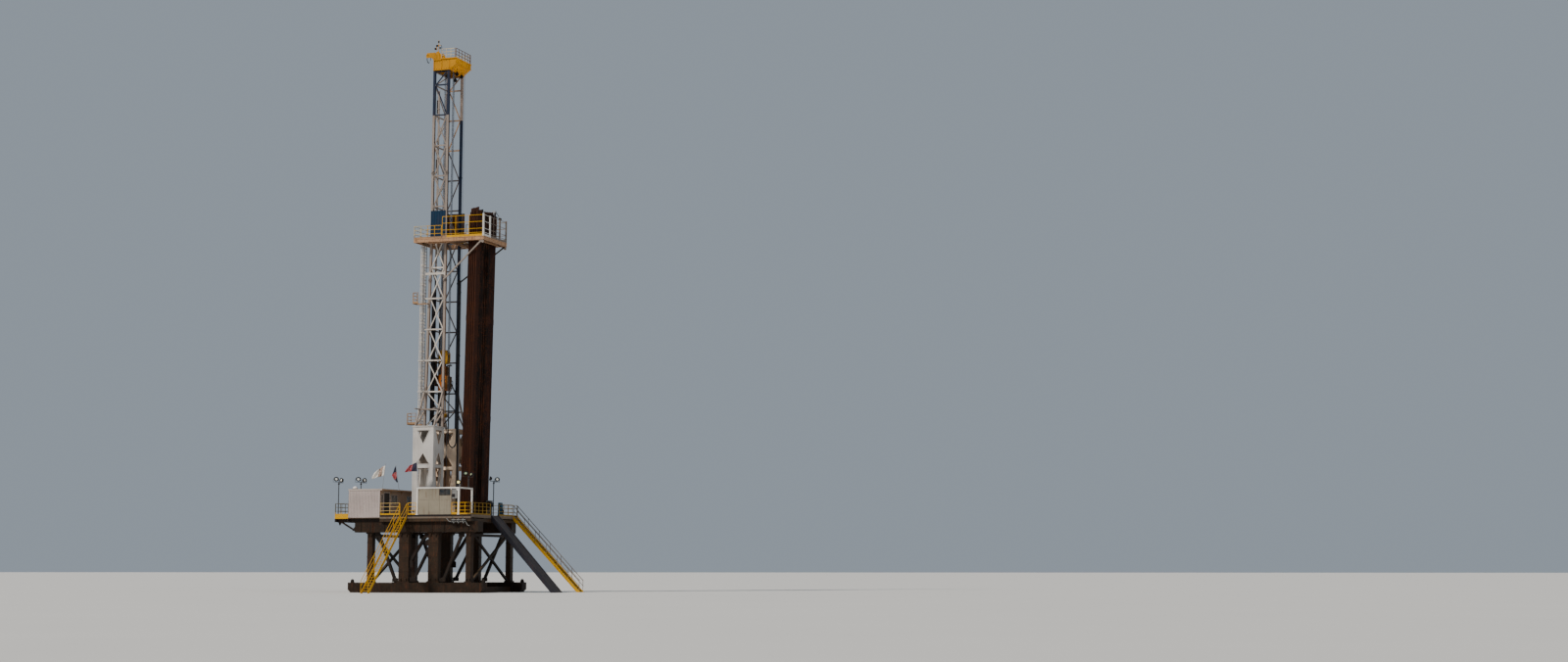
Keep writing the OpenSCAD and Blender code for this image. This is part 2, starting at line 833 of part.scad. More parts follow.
module board_frame() {
    z0 = board_z - board_t;
    z1 = board_z - 4;
    color("#cdb9a4") {
        for (s = [-1, 1]) {
            blk([board_x0, min(s * board_y, s * (board_y - 10)), z0],
                [board_x1, max(s * board_y, s * (board_y - 10)), z1]);
            blk([finger_x0, min(s * finger_out, s * (finger_out + 8)), z0],
                [board_x1, max(s * finger_out, s * (finger_out + 8)), z1]);
        }
        blk([board_x1 - 10, -board_y, z0], [board_x1, board_y, z1]);
        blk([finger_x1 + 4, -board_y, z0], [finger_x1 + 12, board_y, z1]);
        blk([board_x0, -board_y, z0], [board_x0 + 10, board_y, z1]);
        for (x = [mleg_x0 - mleg_w / 2 - 14, finger_x0])
            blk([x, -board_y, z0], [x + 12, board_y, z1]);
        both_sides()
            blk([mleg_x0 - mleg_w / 2 - 14, leg_side, z0], [finger_x0 + 12, leg_side + 10, z1]);
    }
}

// Walkway plates round the mast and the fingers, and the board's centre gangway
module board_deck() {
    z0 = board_z - 4;
    color("#c9b59d") {
        for (s = [-1, 1])
            blk([board_x0, min(s * board_y, s * finger_out), z0], [board_x1, max(s * board_y, s * finger_out), board_z]);
        difference() {
            blk([board_x0, -finger_out, z0], [mleg_x0 - mleg_w / 2 - 2, finger_out, board_z]);
            blk([ladder_x - 60, ladder_y - 34, z0 - 1], [ladder_x + 4, ladder_y + 34, board_z + 1]);
        }
        blk([finger_x1 + 4, -finger_out, z0], [board_x1, finger_out, board_z]);
        blk([finger_x0, -finger_out, z0], [finger_x0 + 12, finger_out, board_z]);
        both_sides()
            blk([mleg_x0 - mleg_w / 2 - 2, leg_side + 4, z0], [finger_x0 + 12, finger_out, board_z]);
        blk([finger_x0, -30, z0], [300, 30, board_z]);
    }
}

// Fingers that part the rows of drill pipe, reaching in from both sides
module board_fingers() {
    z = board_z - board_t + 10;
    x_last = stand_top_x() + stand_slots / 2 * slot_pitch;
    color("#8d7c6c")
        both_sides()
            for (i = [0:16]) {
                x = x_last - i * slot_pitch;
                if (x > finger_x0 + 14 && x < finger_x1)
                    blk([x - 1.25, finger_in, z], [x + 1.25, finger_out, z + 12]);
            }
}

// Centre of the racked pipe at the height of the fingers
function stand_top_x() = stand_x + tan(stand_lean) * (board_z - board_t + 16 - floor_h - 6);

// Waist-high rails beside and behind the mast, and tall ones with stout posts round the pipe
module board_rails() {
    z = board_z;
    y = board_y - 3;
    x = mleg_x1 + 14;
    x1 = board_x1 - 12;
    color("#dcb53a") {
        for (s = [-1, 1]) {
            railing([board_x0 + 3, s * y, z], [x - 8, s * y, z], 4, 120);
            tall_rail([x, s * y, z], [x1 - 1, s * y, z], 3);
            translate([x1, s * (board_y - 6) - 6, z]) cube([12, 12, 212]);
            translate([x1, s * 105 - 6, z]) cube([12, 12, 206]);
        }
        railing([board_x0 + 3, -y + 6, z], [board_x0 + 3, y - 6, z], 4, 120);
        tall_rail([board_x1 - 3, -y + 15, z], [board_x1 - 3, -113, z], 1);
        tall_rail([board_x1 - 3, -97, z], [board_x1 - 3, 97, z], 3);
        tall_rail([board_x1 - 3, 113, z], [board_x1 - 3, y - 15, z], 1);
    }
}

module tall_rail(a, b, n) {
    railing(a, b, n, 200, 22);
    bar(a + [0, 0, 34], b + [0, 0, 34], 4, 4);
}

// Sloping bars from the sides of the front legs out to the board's corners
module board_braces() {
    color("#c9bba9")
        both_sides()
            intersection() {
                bar([mleg_x1 - 8, leg_side + 4, board_z - 378], [board_x1 - 12, board_y - 5, board_z - board_t + 6], 10, 12);
                blk([mleg_x1 - mleg_w / 2, leg_side, board_z - 600], [board_x1, board_y, board_z - board_t]);
            }
}

// Stands of three joints of drill pipe, leaning in the fingers. Each slot is one solid, because
// its tool joints touch.
module slot_of_pipe(row_phase) {
    pitch = joint_r * 2 - 0.4;
    levels = [0, 905, 1815, 2725];
    y = [for (i = [0:stand_rows - 1]) i * pitch];
    for (i = [0:2])
        translate([0, 0, levels[i]])
            linear_extrude(levels[i + 1] - levels[i])
                for (p = y) translate([0, p]) circle(r = pipe_r, $fn = 24);
    for (i = [0:3])
        translate([0, 0, i == 0 ? 0 : levels[i] - 25])
            linear_extrude(i == 0 ? 30 : 50)
                for (p = y) translate([0, p]) circle(r = joint_r, $fn = 24);
    for (i = [0:stand_rows - 1])
        translate([0, y[i], levels[3] + 25])
            cylinder(r = pipe_r, h = 20 + 12 * ((i * 5 + row_phase * 3) % 8), $fn = 24);
}

module pipe_stands() {
    z = floor_h + 6;
    color("#4b2a1e")
        both_sides()
            difference() {
                translate([stand_x, 0, z])
                    rotate([0, stand_lean, 0])
                        for (k = [0:stand_slots - 1])
                            translate([(k - (stand_slots - 1) / 2) * slot_pitch, finger_in + joint_r + 3, -3])
                                slot_of_pipe(k);
                blk([stand_x - 100, 0, z - 20], [stand_x + 100, 300, z]);
            }
}

// Crown

module crown_frame() {
    x0 = mleg_x0 - mleg_w / 2;
    x1 = mleg_x1 + mleg_w / 2 + 6;
    y = crown_y;
    t = 8;
    color("#e0a512") {
        for (s = [-1, 1]) {
            blk([x0, min(s * y, s * (y - t)), crown_z], [x1, max(s * y, s * (y - t)), crown_top]);
            blk([x0, min(s * 36, s * 46), crown_z], [x1, max(s * 36, s * 46), crown_top]);
            blk([x0, min(s * 130, s * 152), crown_z], [x1, max(s * 130, s * 152), crown_z + 6]);
        }
        for (x = [x0, x1 - t])
            blk([x, -y, crown_z], [x + t, y, crown_top]);
        blk([x0, -y, crown_top - 4], [x0 + 70, -y + 60, crown_top]);
    }
}

module sheave_row(z, r) {
    for (i = [0:sheaves - 1])
        translate([0, (i - (sheaves - 1) / 2) * 9 + 3.5, z])
            rotate([90, 0, 0])
                cylinder(r = r, h = 7, $fn = 64);
}

module crown_sheaves() {
    color("#33363b") {
        sheave_row(sheave_z, sheave_r);
        rod([0, -36, sheave_z], [0, 36, sheave_z], 9, 32);
    }
}

// Walkway at the crown's ramp side, and the sheave guard that stands on its near side
module crown_platform() {
    x0 = mleg_x1 + mleg_w / 2 + 6;
    x1 = x0 + 64;
    y = crown_y + 4;
    z = crown_top;
    color("#e0a512") {
        blk([guard_x, -y, z], [x1, -60, z + 5]);
        blk([x0 - 90, 60, z], [x1, y, z + 5]);
        blk([x0 - 20, -60 - join, z], [x1, 60 + join, z + 5]);
        blk([x1 - 6, -y, z - 50], [x1, y, z]);
        translate([guard_x, -y + 14, z])
            rotate([90, 0, 0])
                linear_extrude(6)
                    polygon([[0, 0], [2, 48], [14, 78], [36, 82], [52, 58], [64, 50], [84, 56], [98, 38], [112, 0]]);
        for (y = [-crown_y, -60, 54, crown_y - 6])
            translate([0, y + 6, 0])
                rotate([90, 0, 0])
                    linear_extrude(6)
                        polygon([[x0, crown_z + 8], [x1 - 6, crown_top - 50], [x1 - 6, crown_top], [x0, crown_top]]);
    }
}

module crown_rails() {
    y = crown_y + 1;
    z = crown_top + 5;
    color("#e3d9c3") {
        railing([-8, -y, z], [132, -y, z], 3, 95, 6);
        railing([-8, y, z], [132, y, z], 3, 95, 6);
        railing([139, -y + 3, z], [139, y - 3, z], 5, 95, 6);
    }
}

// Short jib on the crown's rear corner, its two line sheaves and the warning light's mast
module gin_arm() {
    x0 = mleg_x0 - mleg_w / 2;
    color("#dba316") {
        blk([x0, -150, crown_top], [x0 + 12, -135, crown_top + 72]);
        blk([x0 - 72, -150, crown_top + 57], [x0 + 12, -135, crown_top + 72]);
        translate([x0 - 10, -135, 0])
            rotate([90, 0, 0])
                linear_extrude(15)
                    polygon([[10, crown_top], [10, crown_top + 59], [-50, crown_top + 59]]);
    }
    color("#8b8e90") {
        for (x = [x0 - 66, x0 - 40])
            translate([x, -139, crown_top + 41])
                rotate([90, 0, 0])
                    cylinder(r = 16, h = 7, $fn = 40);
        blk([x0 - 70, -144, crown_top + 47], [x0 - 36, -141, crown_top + 58]);
        translate([x0 + 40, -130, crown_top + 5]) {
            cylinder(r = 2.5, h = 165, $fn = 16);
            translate([0, 0, 164]) cylinder(r = 5, h = 21, $fn = 24);
            translate([-25, -1.5, 135]) cube([50, 3, 4]);
            translate([-25, -2, 95]) cube([6, 4, 44]);
        }
    }
}

// Lamps on poles: side platform, doghouse roof, ramp corner and wind wall, and a floodlight

module lamp_pole(h) {
    color("#6f6f6c") cylinder(r = 3, h = h, $fn = 16);
    color("#6f6f6c") translate([-38, -3, h - 2]) cube([76, 6, 6]);
    color("#c9c9c4")
        for (s = [-1, 1])
            translate([s * 38, 0, h + 18])
                rotate([28 * s, 14 * s, 0])
                    translate([-27, -12, -19]) cube([54, 24, 38]);
}

module light_poles() {
    z = floor_h + wind_h;
    translate([platform_x0 + 22, -floor_y + 22, floor_h]) lamp_pole(308);
    translate([house_x0 + 110, -floor_y + 20, house_z + 10]) lamp_pole(66);
    translate([floor_x1 - 65, ramp_w / 2 + 20, floor_h]) lamp_pole(322);
    translate([wall_x1 - 7, -300, z]) lamp_pole(105);
    color("#e3dfc8") {
        blk([404, -floor_y + 3, z], [412, -floor_y + 10, z + 24]);
        blk([388, -floor_y + 1, z + 24], [430, -floor_y + 14, z + 62]);
    }
}

// Leaning poles on the doghouse roof and on the wind wall's corner post
module flagpoles() {
    z = house_z + 10;
    x = house_x1 + 6;
    color("#b9b5ad") {
        rod([x, -470, z], [x + 28, -470, z + 225], 2, 12);
        rod([x, -150, z], [x - 38, -150, z + 232], 2, 12);
        rod([wall_x0 + wall_t / 2, -floor_y + wall_t / 2, floor_h + wind_h],
            [wall_x0 + wall_t / 2 - 12, -floor_y + wall_t / 2, floor_h + wind_h + 235], 2, 12);
    }
}

module flags() {
    z = house_z + 10;
    x = house_x1 + 6;
    color("#a9696b") {
        translate([x + 24.7, -470, z + 218]) rotate([0, 8, 0]) flag(-118, 100);
        translate([x - 38.8, -150, z + 222]) rotate([0, -9.3, 0]) flag(-50, 150);
        translate([wall_x0 + wall_t / 2 - 14, -floor_y + wall_t / 2, floor_h + wind_h + 228])
            rotate([0, -2.9, 0])
                flag(-118, 84);
    }
}

module flag(w, h) {
    rotate([90, 0, 0])
        translate([0, 0, -1])
            linear_extrude(2)
                polygon([[0, 0], [w, -h * 0.3], [w * 0.9, -h * 0.85], [w * 0.35, -h], [0, -h * 0.7]]);
}

// Travelling assembly

module travelling_block() {
    color("#cfa21c") {
        for (s = [-1, 1])
            translate([0, s * 26 + 2, 0])
                rotate([90, 0, 0])
                    linear_extrude(4)
                        union() {
                            translate([0, block_z]) circle(r = sheave_r + 5, $fn = 64);
                            translate([-sheave_r - 5, block_z - 90]) square([2 * sheave_r + 10, 90]);
                        }
        blk([-sheave_r - 5, -24, block_z - 90], [sheave_r + 5, 24, block_z - 45]);
    }
    color("#3b3d40") {
        sheave_row(block_z, sheave_r);
        rod([0, -24, block_z], [0, 24, block_z], 8, 32);
    }
}

module top_drive() {
    z = block_z;
    color("#c4581d") {
        blk([-38, -50, z - 340], [42, 50, z - 190]);
        blk([-30, -12, z - 190], [30, 12, z - 90]);
    }
    color("#c9a227")
        for (s = [-1, 1])
            translate([10, s * 34, z - 190]) cylinder(r = 24, h = 80, $fn = 48);
    color("#3a342f") {
        translate([0, 0, z - 385]) cylinder(r = 26, h = 46, $fn = 48);
        translate([0, 0, z - 430]) cylinder(r = 9, h = 46, $fn = 32);
        blk([42, -45, z - 320], [56, 45, z - 205]);
        rod([30, 0, z - 105], [hose_x, 0, z - 105], 7);
        rod([hose_x, 7, z - 105], [hose_x, hose_y0 - 7, z - 105], 7);
    }
}

module top_drive_dolly() {
    color("#8e6a20") {
        for (z = [block_z - 300, block_z - 60])
            blk([-59, -80, z], [-45, 80, z + 25]);
        for (s = [-1, 1])
            blk([-59, s * 70 - 10, block_z - 285], [-45, s * 70 + 10, block_z - 50]);
        blk([-59, -70, block_z - 240], [-38, 70, block_z - 200]);
    }
}

module elevator() {
    color("#8a6a2b") {
        for (s = [-1, 1])
            rod([0, s * 31, block_z - 340], [0, s * 31, block_z - 560], 4);
        difference() {
            translate([0, 0, block_z - 590]) cylinder(r = 38, h = 34, $fn = 64);
            translate([0, 0, block_z - 591]) cylinder(r = 10, h = 36, $fn = 48);
        }
    }
}

// The parts of the drilling line between the crown's and the block's sheaves
module drilling_lines() {
    x = sheave_r + line_r;
    color("#55585c")
        for (s = [-1, 1], i = [0:sheaves - 1])
            translate([s * x, (i - (sheaves - 1) / 2) * 9, block_z])
                cylinder(r = line_r, h = sheave_z - block_z, $fn = 8);
}

// Hose from the standpipe's gooseneck, down in a long loop and up to the top drive
hose_x = mleg_x1 + mleg_w / 2 + 8;
hose_y1 = mleg_y - 32;
hose_y0 = -60;
hose_end = block_z - 112;
hose_bend = column_z - 98;
hose_path = concat(
    [for (i = [0:10]) [hose_x, hose_y1, neck_z - (neck_z - hose_bend) * i / 10]],
    [for (a = [15:15:165]) [hose_x, (hose_y0 + hose_y1) / 2 + (hose_y1 - hose_y0) / 2 * cos(a),
        hose_bend - (hose_y1 - hose_y0) / 2 * sin(a)]],
    [for (i = [0:5]) [hose_x, hose_y0, hose_bend + (hose_end - hose_bend) * i / 5]]
);

module rotary_hose() {
    n = len(hose_path);
    sides = 8;
    function tangent(i) = let (d = hose_path[min(i + 1, n - 1)] - hose_path[max(i - 1, 0)]) d / norm(d);
    points = [for (i = [0:n - 1], k = [0:sides - 1])
        let (t = tangent(i), a = 360 * k / sides)
        hose_path[i] + hose_r * (cos(a) * [1, 0, 0] + sin(a) * cross([1, 0, 0], t))];
    faces = concat(
        [[for (k = [0:sides - 1]) k]],
        [for (i = [0:n - 2], k = [0:sides - 1])
            [i * sides + (k + 1) % sides, i * sides + k, (i + 1) * sides + k, (i + 1) * sides + (k + 1) % sides]],
        [[for (k = [sides - 1:-1:0]) (n - 1) * sides + k]]
    );
    color("#1c1d20") polyhedron(points, faces);
}

base_boxes();
base_spreaders();
substructure_legs();
substructure_braces();
box_beams();
floor_frame();
floor_deck();
rotary_table();
setback_mats();
platform_frame();
platform_deck();
doghouse_floor();
doghouse_side_walls();
doghouse_end_walls();
doghouse_roof();
doghouse_door();
doghouse_windows();
wind_wall_frame();
wind_wall_panel();
floor_rails();
control_cabinet();
stair_treads();
stair_sides();
pipe_ramp();
mast_columns();
column_ties();
mast_knees();
mast_legs();
near_lattice();
far_lattice();
rear_lattice();
wind_panels();
guide_rails();
standpipe();
ladder();
ladder_cage();
ladder_platforms();
board_frame();
board_deck();
board_fingers();
board_rails();
board_braces();
pipe_stands();
crown_frame();
crown_sheaves();
crown_platform();
crown_rails();
gin_arm();
light_poles();
flagpoles();
flags();
travelling_block();
top_drive();
top_drive_dolly();
elevator();
drilling_lines();
rotary_hose();
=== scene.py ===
"""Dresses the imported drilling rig: paint, rust, siding, bolts, cords, lamps, flags and the stage."""

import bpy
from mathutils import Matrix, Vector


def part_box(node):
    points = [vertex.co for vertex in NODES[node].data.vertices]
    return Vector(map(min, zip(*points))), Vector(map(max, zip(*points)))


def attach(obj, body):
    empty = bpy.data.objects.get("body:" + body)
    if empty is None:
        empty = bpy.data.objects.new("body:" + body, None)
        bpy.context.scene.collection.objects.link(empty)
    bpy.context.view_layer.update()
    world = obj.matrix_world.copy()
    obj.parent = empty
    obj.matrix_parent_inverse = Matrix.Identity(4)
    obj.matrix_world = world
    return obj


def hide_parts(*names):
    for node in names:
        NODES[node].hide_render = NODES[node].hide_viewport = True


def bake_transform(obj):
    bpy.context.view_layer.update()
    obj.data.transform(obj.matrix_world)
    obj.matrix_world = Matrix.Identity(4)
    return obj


bl_info = {
    "name": "Drilling rig dresser",
    "version": (1, 0, 0),
    "blender": (4, 5, 0),
    "location": "View3D > Sidebar > Rig",
    "description": "Paints and details the packed drilling rig",
    "category": "Object",
}

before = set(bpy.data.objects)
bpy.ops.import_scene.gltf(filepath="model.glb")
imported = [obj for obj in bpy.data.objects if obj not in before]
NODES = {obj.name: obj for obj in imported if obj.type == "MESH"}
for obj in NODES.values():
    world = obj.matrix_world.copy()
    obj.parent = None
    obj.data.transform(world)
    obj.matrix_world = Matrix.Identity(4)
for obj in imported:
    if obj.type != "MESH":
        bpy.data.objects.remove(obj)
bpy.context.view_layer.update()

import math

import bmesh
import bpy
from mathutils import Matrix, Vector

MM = 0.001
SIDES = (-1, 1)
X, Y, Z = (1, 0, 0), (0, 1, 0), (0, 0, 1)
LEFT, NEAR, DOWN = (-1, 0, 0), (0, -1, 0), (0, 0, -1)

# Levels and lines of the rig that several pieces share, in millimetres
FLOOR = 700
LEG_Y = 420
MAST_Y = 140
MAST_X = -84, 61
BAY = 290
FIRST_BAY = 1848
SPLAY, SPLAY_FOOT, SPLAY_TOP = 40, 1518, 3298
CROWN_SHAFT = 4940
BLOCK_SHAFT = 2205


def linear(red, green, blue):
    """A colour seen on a screen, 0 to 255, as Blender's linear colour with alpha."""
    parts = [v / 255 for v in (red, green, blue)]
    return tuple(v / 12.92 if v <= 0.04045 else ((v + 0.055) / 1.055) ** 2.4 for v in parts) + (1.0,)


def span(node):
    """Lowest and highest corner of a CAD node at rest, in millimetres."""
    low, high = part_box(node)
    return [v / MM for v in low], [v / MM for v in high]


# Sizes and colours that a user may change


def colour(name, description, *rgb):
    return bpy.props.FloatVectorProperty(
        name=name, description=description, subtype="COLOR", size=4, min=0, max=1, default=linear(*rgb)
    )


def length(name, description, default, low, high):
    return bpy.props.FloatProperty(
        name=name, description=description, default=default, min=low, max=high, unit="LENGTH", precision=4
    )


def amount(name, description, default, high=1.0, subtype="FACTOR"):
    return bpy.props.FloatProperty(
        name=name, description=description, default=default, min=0, max=high, subtype=subtype
    )


class RigPaint(bpy.types.PropertyGroup):
    cream: colour("Mast cream", "Paint of the mast's legs and bars", 140, 128, 119)
    tan: colour("Mast tan", "Warm paint on the far leg's top and the columns' inner faces", 150, 118, 88)
    navy: colour("Navy", "Paint of the mast's top bays", 0, 28, 54)
    grey: colour("Column grey", "Paint of the plated lower columns", 186, 181, 175)
    yellow: colour("Safety yellow", "Handrails, stair stringers and toe plates", 200, 148, 0)
    crown: colour("Crown yellow", "Paint of the crown and its platform", 178, 122, 0)
    brown: colour("Leg brown", "Old paint of the substructure's legs and the base spreaders", 34, 24, 17)
    dark: colour("Brace black", "Paint of the substructure's braces", 24, 20, 19)
    siding: colour("Siding beige", "Doghouse walls", 176, 163, 158)
    ramp: colour("Ramp slate", "Paint of the pipe ramp", 36, 38, 46)
    board: colour("Board tan", "Edge beams of the racking board", 172, 134, 102)
    white: colour("Frame white", "Wind wall tubes and the board's stout posts", 214, 210, 203)
    panel: colour("Wind panel grey", "Weathered sheet of the wind wall", 134, 126, 110)
    motor: colour("Top drive orange", "Housing of the top drive", 170, 92, 26)
    pipe: colour("Pipe rust", "Mill rust of the drill pipe", 50, 26, 17)
    rust: colour("Rust", "Rust that shows through chipped paint", 88, 46, 24)
    dust: colour("Dust", "Desert dust on upward faces", 150, 124, 96)
    rust_amount: amount("Rust amount", "How much rust shows through the paint", 0.3)
    dust_amount: amount("Dust amount", "How much dust lies on the rig", 0.4)


class RigSizes(bpy.types.PropertyGroup):
    bolt: length("Bolt head", "Radius of a structural bolt's head", 0.0035, 0.001, 0.01)
    siding_pitch: length("Siding pitch", "Distance between the siding's ribs", 0.015, 0.006, 0.05)
    seam_pitch: length("Roof seam pitch", "Distance between the doghouse roof's seams", 0.06, 0.02, 0.2)
    hose: length("Rotary hose", "Outside diameter of the rotary hose", 0.012, 0.006, 0.014)
    line: length("Drilling line", "Diameter of the drilling line", 0.0032, 0.001, 0.005)
    joist_pitch: length("Board joist pitch", "Distance between the board's joists", 0.03, 0.015, 0.08)
    lamp: length("Lamp width", "Width of a floodlight's housing", 0.05, 0.02, 0.06)
    gusset: length("Gusset", "Width of the lattice's gusset plates", 0.032, 0.015, 0.05)


class RigStage(bpy.types.PropertyGroup):
    floor: colour("Floor", "Plain pale floor", 214, 210, 204)
    sky: colour("Backdrop", "Soft light round the rig", 196, 210, 224)
    sun: amount("Sun", "Strength of the key light", 3.6, 20, "NONE")
    fill: amount("Fill", "Strength of the soft fill light", 0.5, 5, "NONE")


def paint():
    return bpy.context.scene.rig_paint


def sizes():
    return bpy.context.scene.rig_sizes


# Shader groups


def feed(tree, socket, value):
    """Links an input to a socket, or sets it to a plain value."""
    if isinstance(value, bpy.types.NodeSocket):
        tree.links.new(value, socket)
    else:
        socket.default_value = value


def node(tree, kind, inputs=None, **settings):
    """A shader or geometry node with its settings, and its inputs given by name or index."""
    made = tree.nodes.new(kind)
    for key, value in settings.items():
        setattr(made, key, value)
    for socket, value in (inputs or {}).items():
        feed(tree, made.inputs[socket], value)
    return made


def group(name, inputs, outputs):
    """An empty shader group with named sockets: its tree, what it is given and its output's sockets."""
    tree = bpy.data.node_groups.new(name, "ShaderNodeTree")
    kinds = {"v": "NodeSocketVector", "c": "NodeSocketColor", "f": "NodeSocketFloat"}
    for label, kind, default in inputs:
        socket = tree.interface.new_socket(label, in_out="INPUT", socket_type=kinds[kind])
        if default is not None:
            socket.default_value = default
    for label, kind in outputs:
        tree.interface.new_socket(label, in_out="OUTPUT", socket_type=kinds[kind])
    return tree, tree.nodes.new("NodeGroupInput").outputs, tree.nodes.new("NodeGroupOutput").inputs


def noise(tree, vector, scale, detail=3.0, rough=0.55):
    inputs = {"Vector": vector, "Scale": scale, "Detail": detail, "Roughness": rough}
    return node(tree, "ShaderNodeTexNoise", inputs).outputs["Fac"]


def remap(tree, value, low, high, to_low=0.0, to_high=1.0):
    inputs = {"Value": value, "From Min": low, "From Max": high, "To Min": to_low, "To Max": to_high}
    return node(tree, "ShaderNodeMapRange", inputs, clamp=True).outputs["Result"]


def maths(tree, operation, *values):
    return node(tree, "ShaderNodeMath", dict(enumerate(values)), operation=operation).outputs[0]


def mixed(tree, factor, a, b, how="MIX"):
    return node(tree, "ShaderNodeMix", {0: factor, 6: a, 7: b}, data_type="RGBA", blend_type=how,
                clamp_factor=True).outputs[2]


def dot(tree, a, b):
    return node(tree, "ShaderNodeVectorMath", {0: a, 1: b}, operation="DOT_PRODUCT").outputs["Value"]


def weathering_group():
    """Paint with tone changes, chips of rust, rain streaks and dust on upward faces."""
    tree, given, out = group(
        "Weathering",
        [
            ("Vector", "v", None), ("Paint", "c", (0.5, 0.5, 0.5, 1)), ("Rust", "c", (0.14, 0.04, 0.01, 1)),
            ("Dust", "c", (0.4, 0.3, 0.2, 1)), ("Rust Amount", "f", 0.3), ("Dust Amount", "f", 0.3),
            ("Streaks", "f", 0.3), ("Scale", "f", 1.0),
        ],
        [("Color", "c"), ("Roughness", "f"), ("Height", "f"), ("Rusty", "f")],
    )
    where = node(tree, "ShaderNodeVectorMath", {0: given["Vector"], "Scale": given["Scale"]},
                 operation="SCALE").outputs[0]
    tall = node(tree, "ShaderNodeMapping", {"Vector": where, "Scale": (1.0, 1.0, 0.09)}).outputs[0]
    broad = noise(tree, where, 5.0, 4.0)
    tone = remap(tree, broad, 0.3, 0.7, 0.84, 1.1)
    grey = node(tree, "ShaderNodeCombineColor", {0: tone, 1: tone, 2: tone}).outputs[0]
    toned = mixed(tree, 1.0, given["Paint"], grey, "MULTIPLY")
    runs = remap(tree, noise(tree, tall, 62.0, 3.0), 0.5, 0.72)
    runs = maths(tree, "MULTIPLY", runs, remap(tree, noise(tree, where, 9.0, 2.0), 0.4, 0.62))
    streaked = mixed(tree, maths(tree, "MULTIPLY", runs, given["Streaks"]), toned, given["Rust"])
    patch = remap(tree, noise(tree, where, 14.0, 3.0), 0.42, 0.68)
    edge = maths(tree, "SUBTRACT", 0.74, maths(tree, "MULTIPLY", given["Rust Amount"], 0.3))
    chips = maths(tree, "GREATER_THAN", noise(tree, where, 150.0, 5.0, 0.65), edge)
    chips = maths(tree, "MULTIPLY", chips, maths(tree, "ADD", patch, 0.25))
    rusted = mixed(tree, chips, streaked, given["Rust"])
    normal = tree.nodes.new("ShaderNodeNewGeometry").outputs["True Normal"]
    lying = remap(tree, node(tree, "ShaderNodeSeparateXYZ", {0: normal}).outputs[2], 0.3, 0.9, 0.12, 1.0)
    lying = maths(tree, "MULTIPLY", lying, given["Dust Amount"])
    lying = maths(tree, "MULTIPLY", lying, remap(tree, noise(tree, where, 22.0, 4.0), 0.25, 0.7, 0.35, 1.0))
    feed(tree, out["Color"], mixed(tree, lying, rusted, given["Dust"]))
    rough = maths(tree, "MULTIPLY_ADD", chips, 0.3, maths(tree, "MULTIPLY", lying, 0.3))
    feed(tree, out["Roughness"], maths(tree, "MULTIPLY_ADD", broad, 0.14, rough))
    pits = maths(tree, "MULTIPLY", chips, -0.5)
    feed(tree, out["Height"], maths(tree, "MULTIPLY_ADD", noise(tree, where, 420.0, 2.0), 0.35, pits))
    feed(tree, out["Rusty"], chips)
    return tree


def band_group():
    """Mask that is 1 where one axis of the place passes a limit, for paint that changes along a piece."""
    tree, given, out = group(
        "Paint Band", [("Vector", "v", None), ("Direction", "v", Z), ("From", "f", 0.0)], [("Past", "f")]
    )
    place = dot(tree, given["Vector"], given["Direction"])
    feed(tree, out["Past"], maths(tree, "GREATER_THAN", place, given["From"]))
    return tree


def seam_group():
    """Repeated grooves at a pitch along one direction, as a mask."""
    tree, given, out = group(
        "Plate Seams",
        [("Vector", "v", None), ("Direction", "v", X), ("Pitch", "f", 0.1), ("Width", "f", 0.004)],
        [("Seam", "f")],
    )
    half_pitch, half_width = (maths(tree, "MULTIPLY", given[key], 0.5) for key in ("Pitch", "Width"))
    place = maths(tree, "PINGPONG", dot(tree, given["Vector"], given["Direction"]), half_pitch)
    feed(tree, out["Seam"], maths(tree, "LESS_THAN", place, half_width))
    return tree


def lay_group():
    """Helical strands of wire rope or the fabric cover of a hose, from a UV map in metres."""
    tree, given, out = group(
        "Rope Lay", [("Vector", "v", None), ("Strands", "f", 6.0), ("Pitch", "f", 0.02)], [("Strand", "f")]
    )
    parts = node(tree, "ShaderNodeSeparateXYZ", {0: given["Vector"]}).outputs
    turn = maths(tree, "DIVIDE", parts[1], given["Pitch"])
    phase = maths(tree, "MULTIPLY_ADD", parts[0], given["Strands"], turn)
    wave = maths(tree, "SINE", maths(tree, "MULTIPLY", phase, 6.2832))
    feed(tree, out["Strand"], remap(tree, wave, -1.0, 1.0))
    return tree


GROUPS = {}


def use(tree, name, **inputs):
    """A shader group placed in a material's tree."""
    makers = {"Weathering": weathering_group, "Paint Band": band_group, "Plate Seams": seam_group,
              "Rope Lay": lay_group}
    if name not in GROUPS:
        GROUPS[name] = makers[name]()
    inputs = {key.replace("_", " "): value for key, value in inputs.items()}
    return node(tree, "ShaderNodeGroup", inputs, node_tree=GROUPS[name]).outputs


def bumped(tree, strength, distance, height):
    return node(tree, "ShaderNodeBump",
                {"Strength": strength, "Distance": distance, "Height": height}).outputs[0]


MATERIALS = {}


def blank(name):
    """A new finish: its node tree, and the object's own coordinates in it."""
    made = bpy.data.materials.new(name)
    made.use_nodes = True
    MATERIALS[name] = made
    return made.node_tree, made.node_tree.nodes.new("ShaderNodeTexCoord").outputs["Object"]


def surface(tree, **inputs):
    """Feeds the Principled shader of a finish."""
    for key, value in inputs.items():
        feed(tree, tree.nodes["Principled BSDF"].inputs[key.replace("_", " ")], value)


def tint(value):
    """A user's colour, or three numbers from 0 to 255, as a linear colour."""
    return linear(*value) if len(value) == 3 else tuple(value)


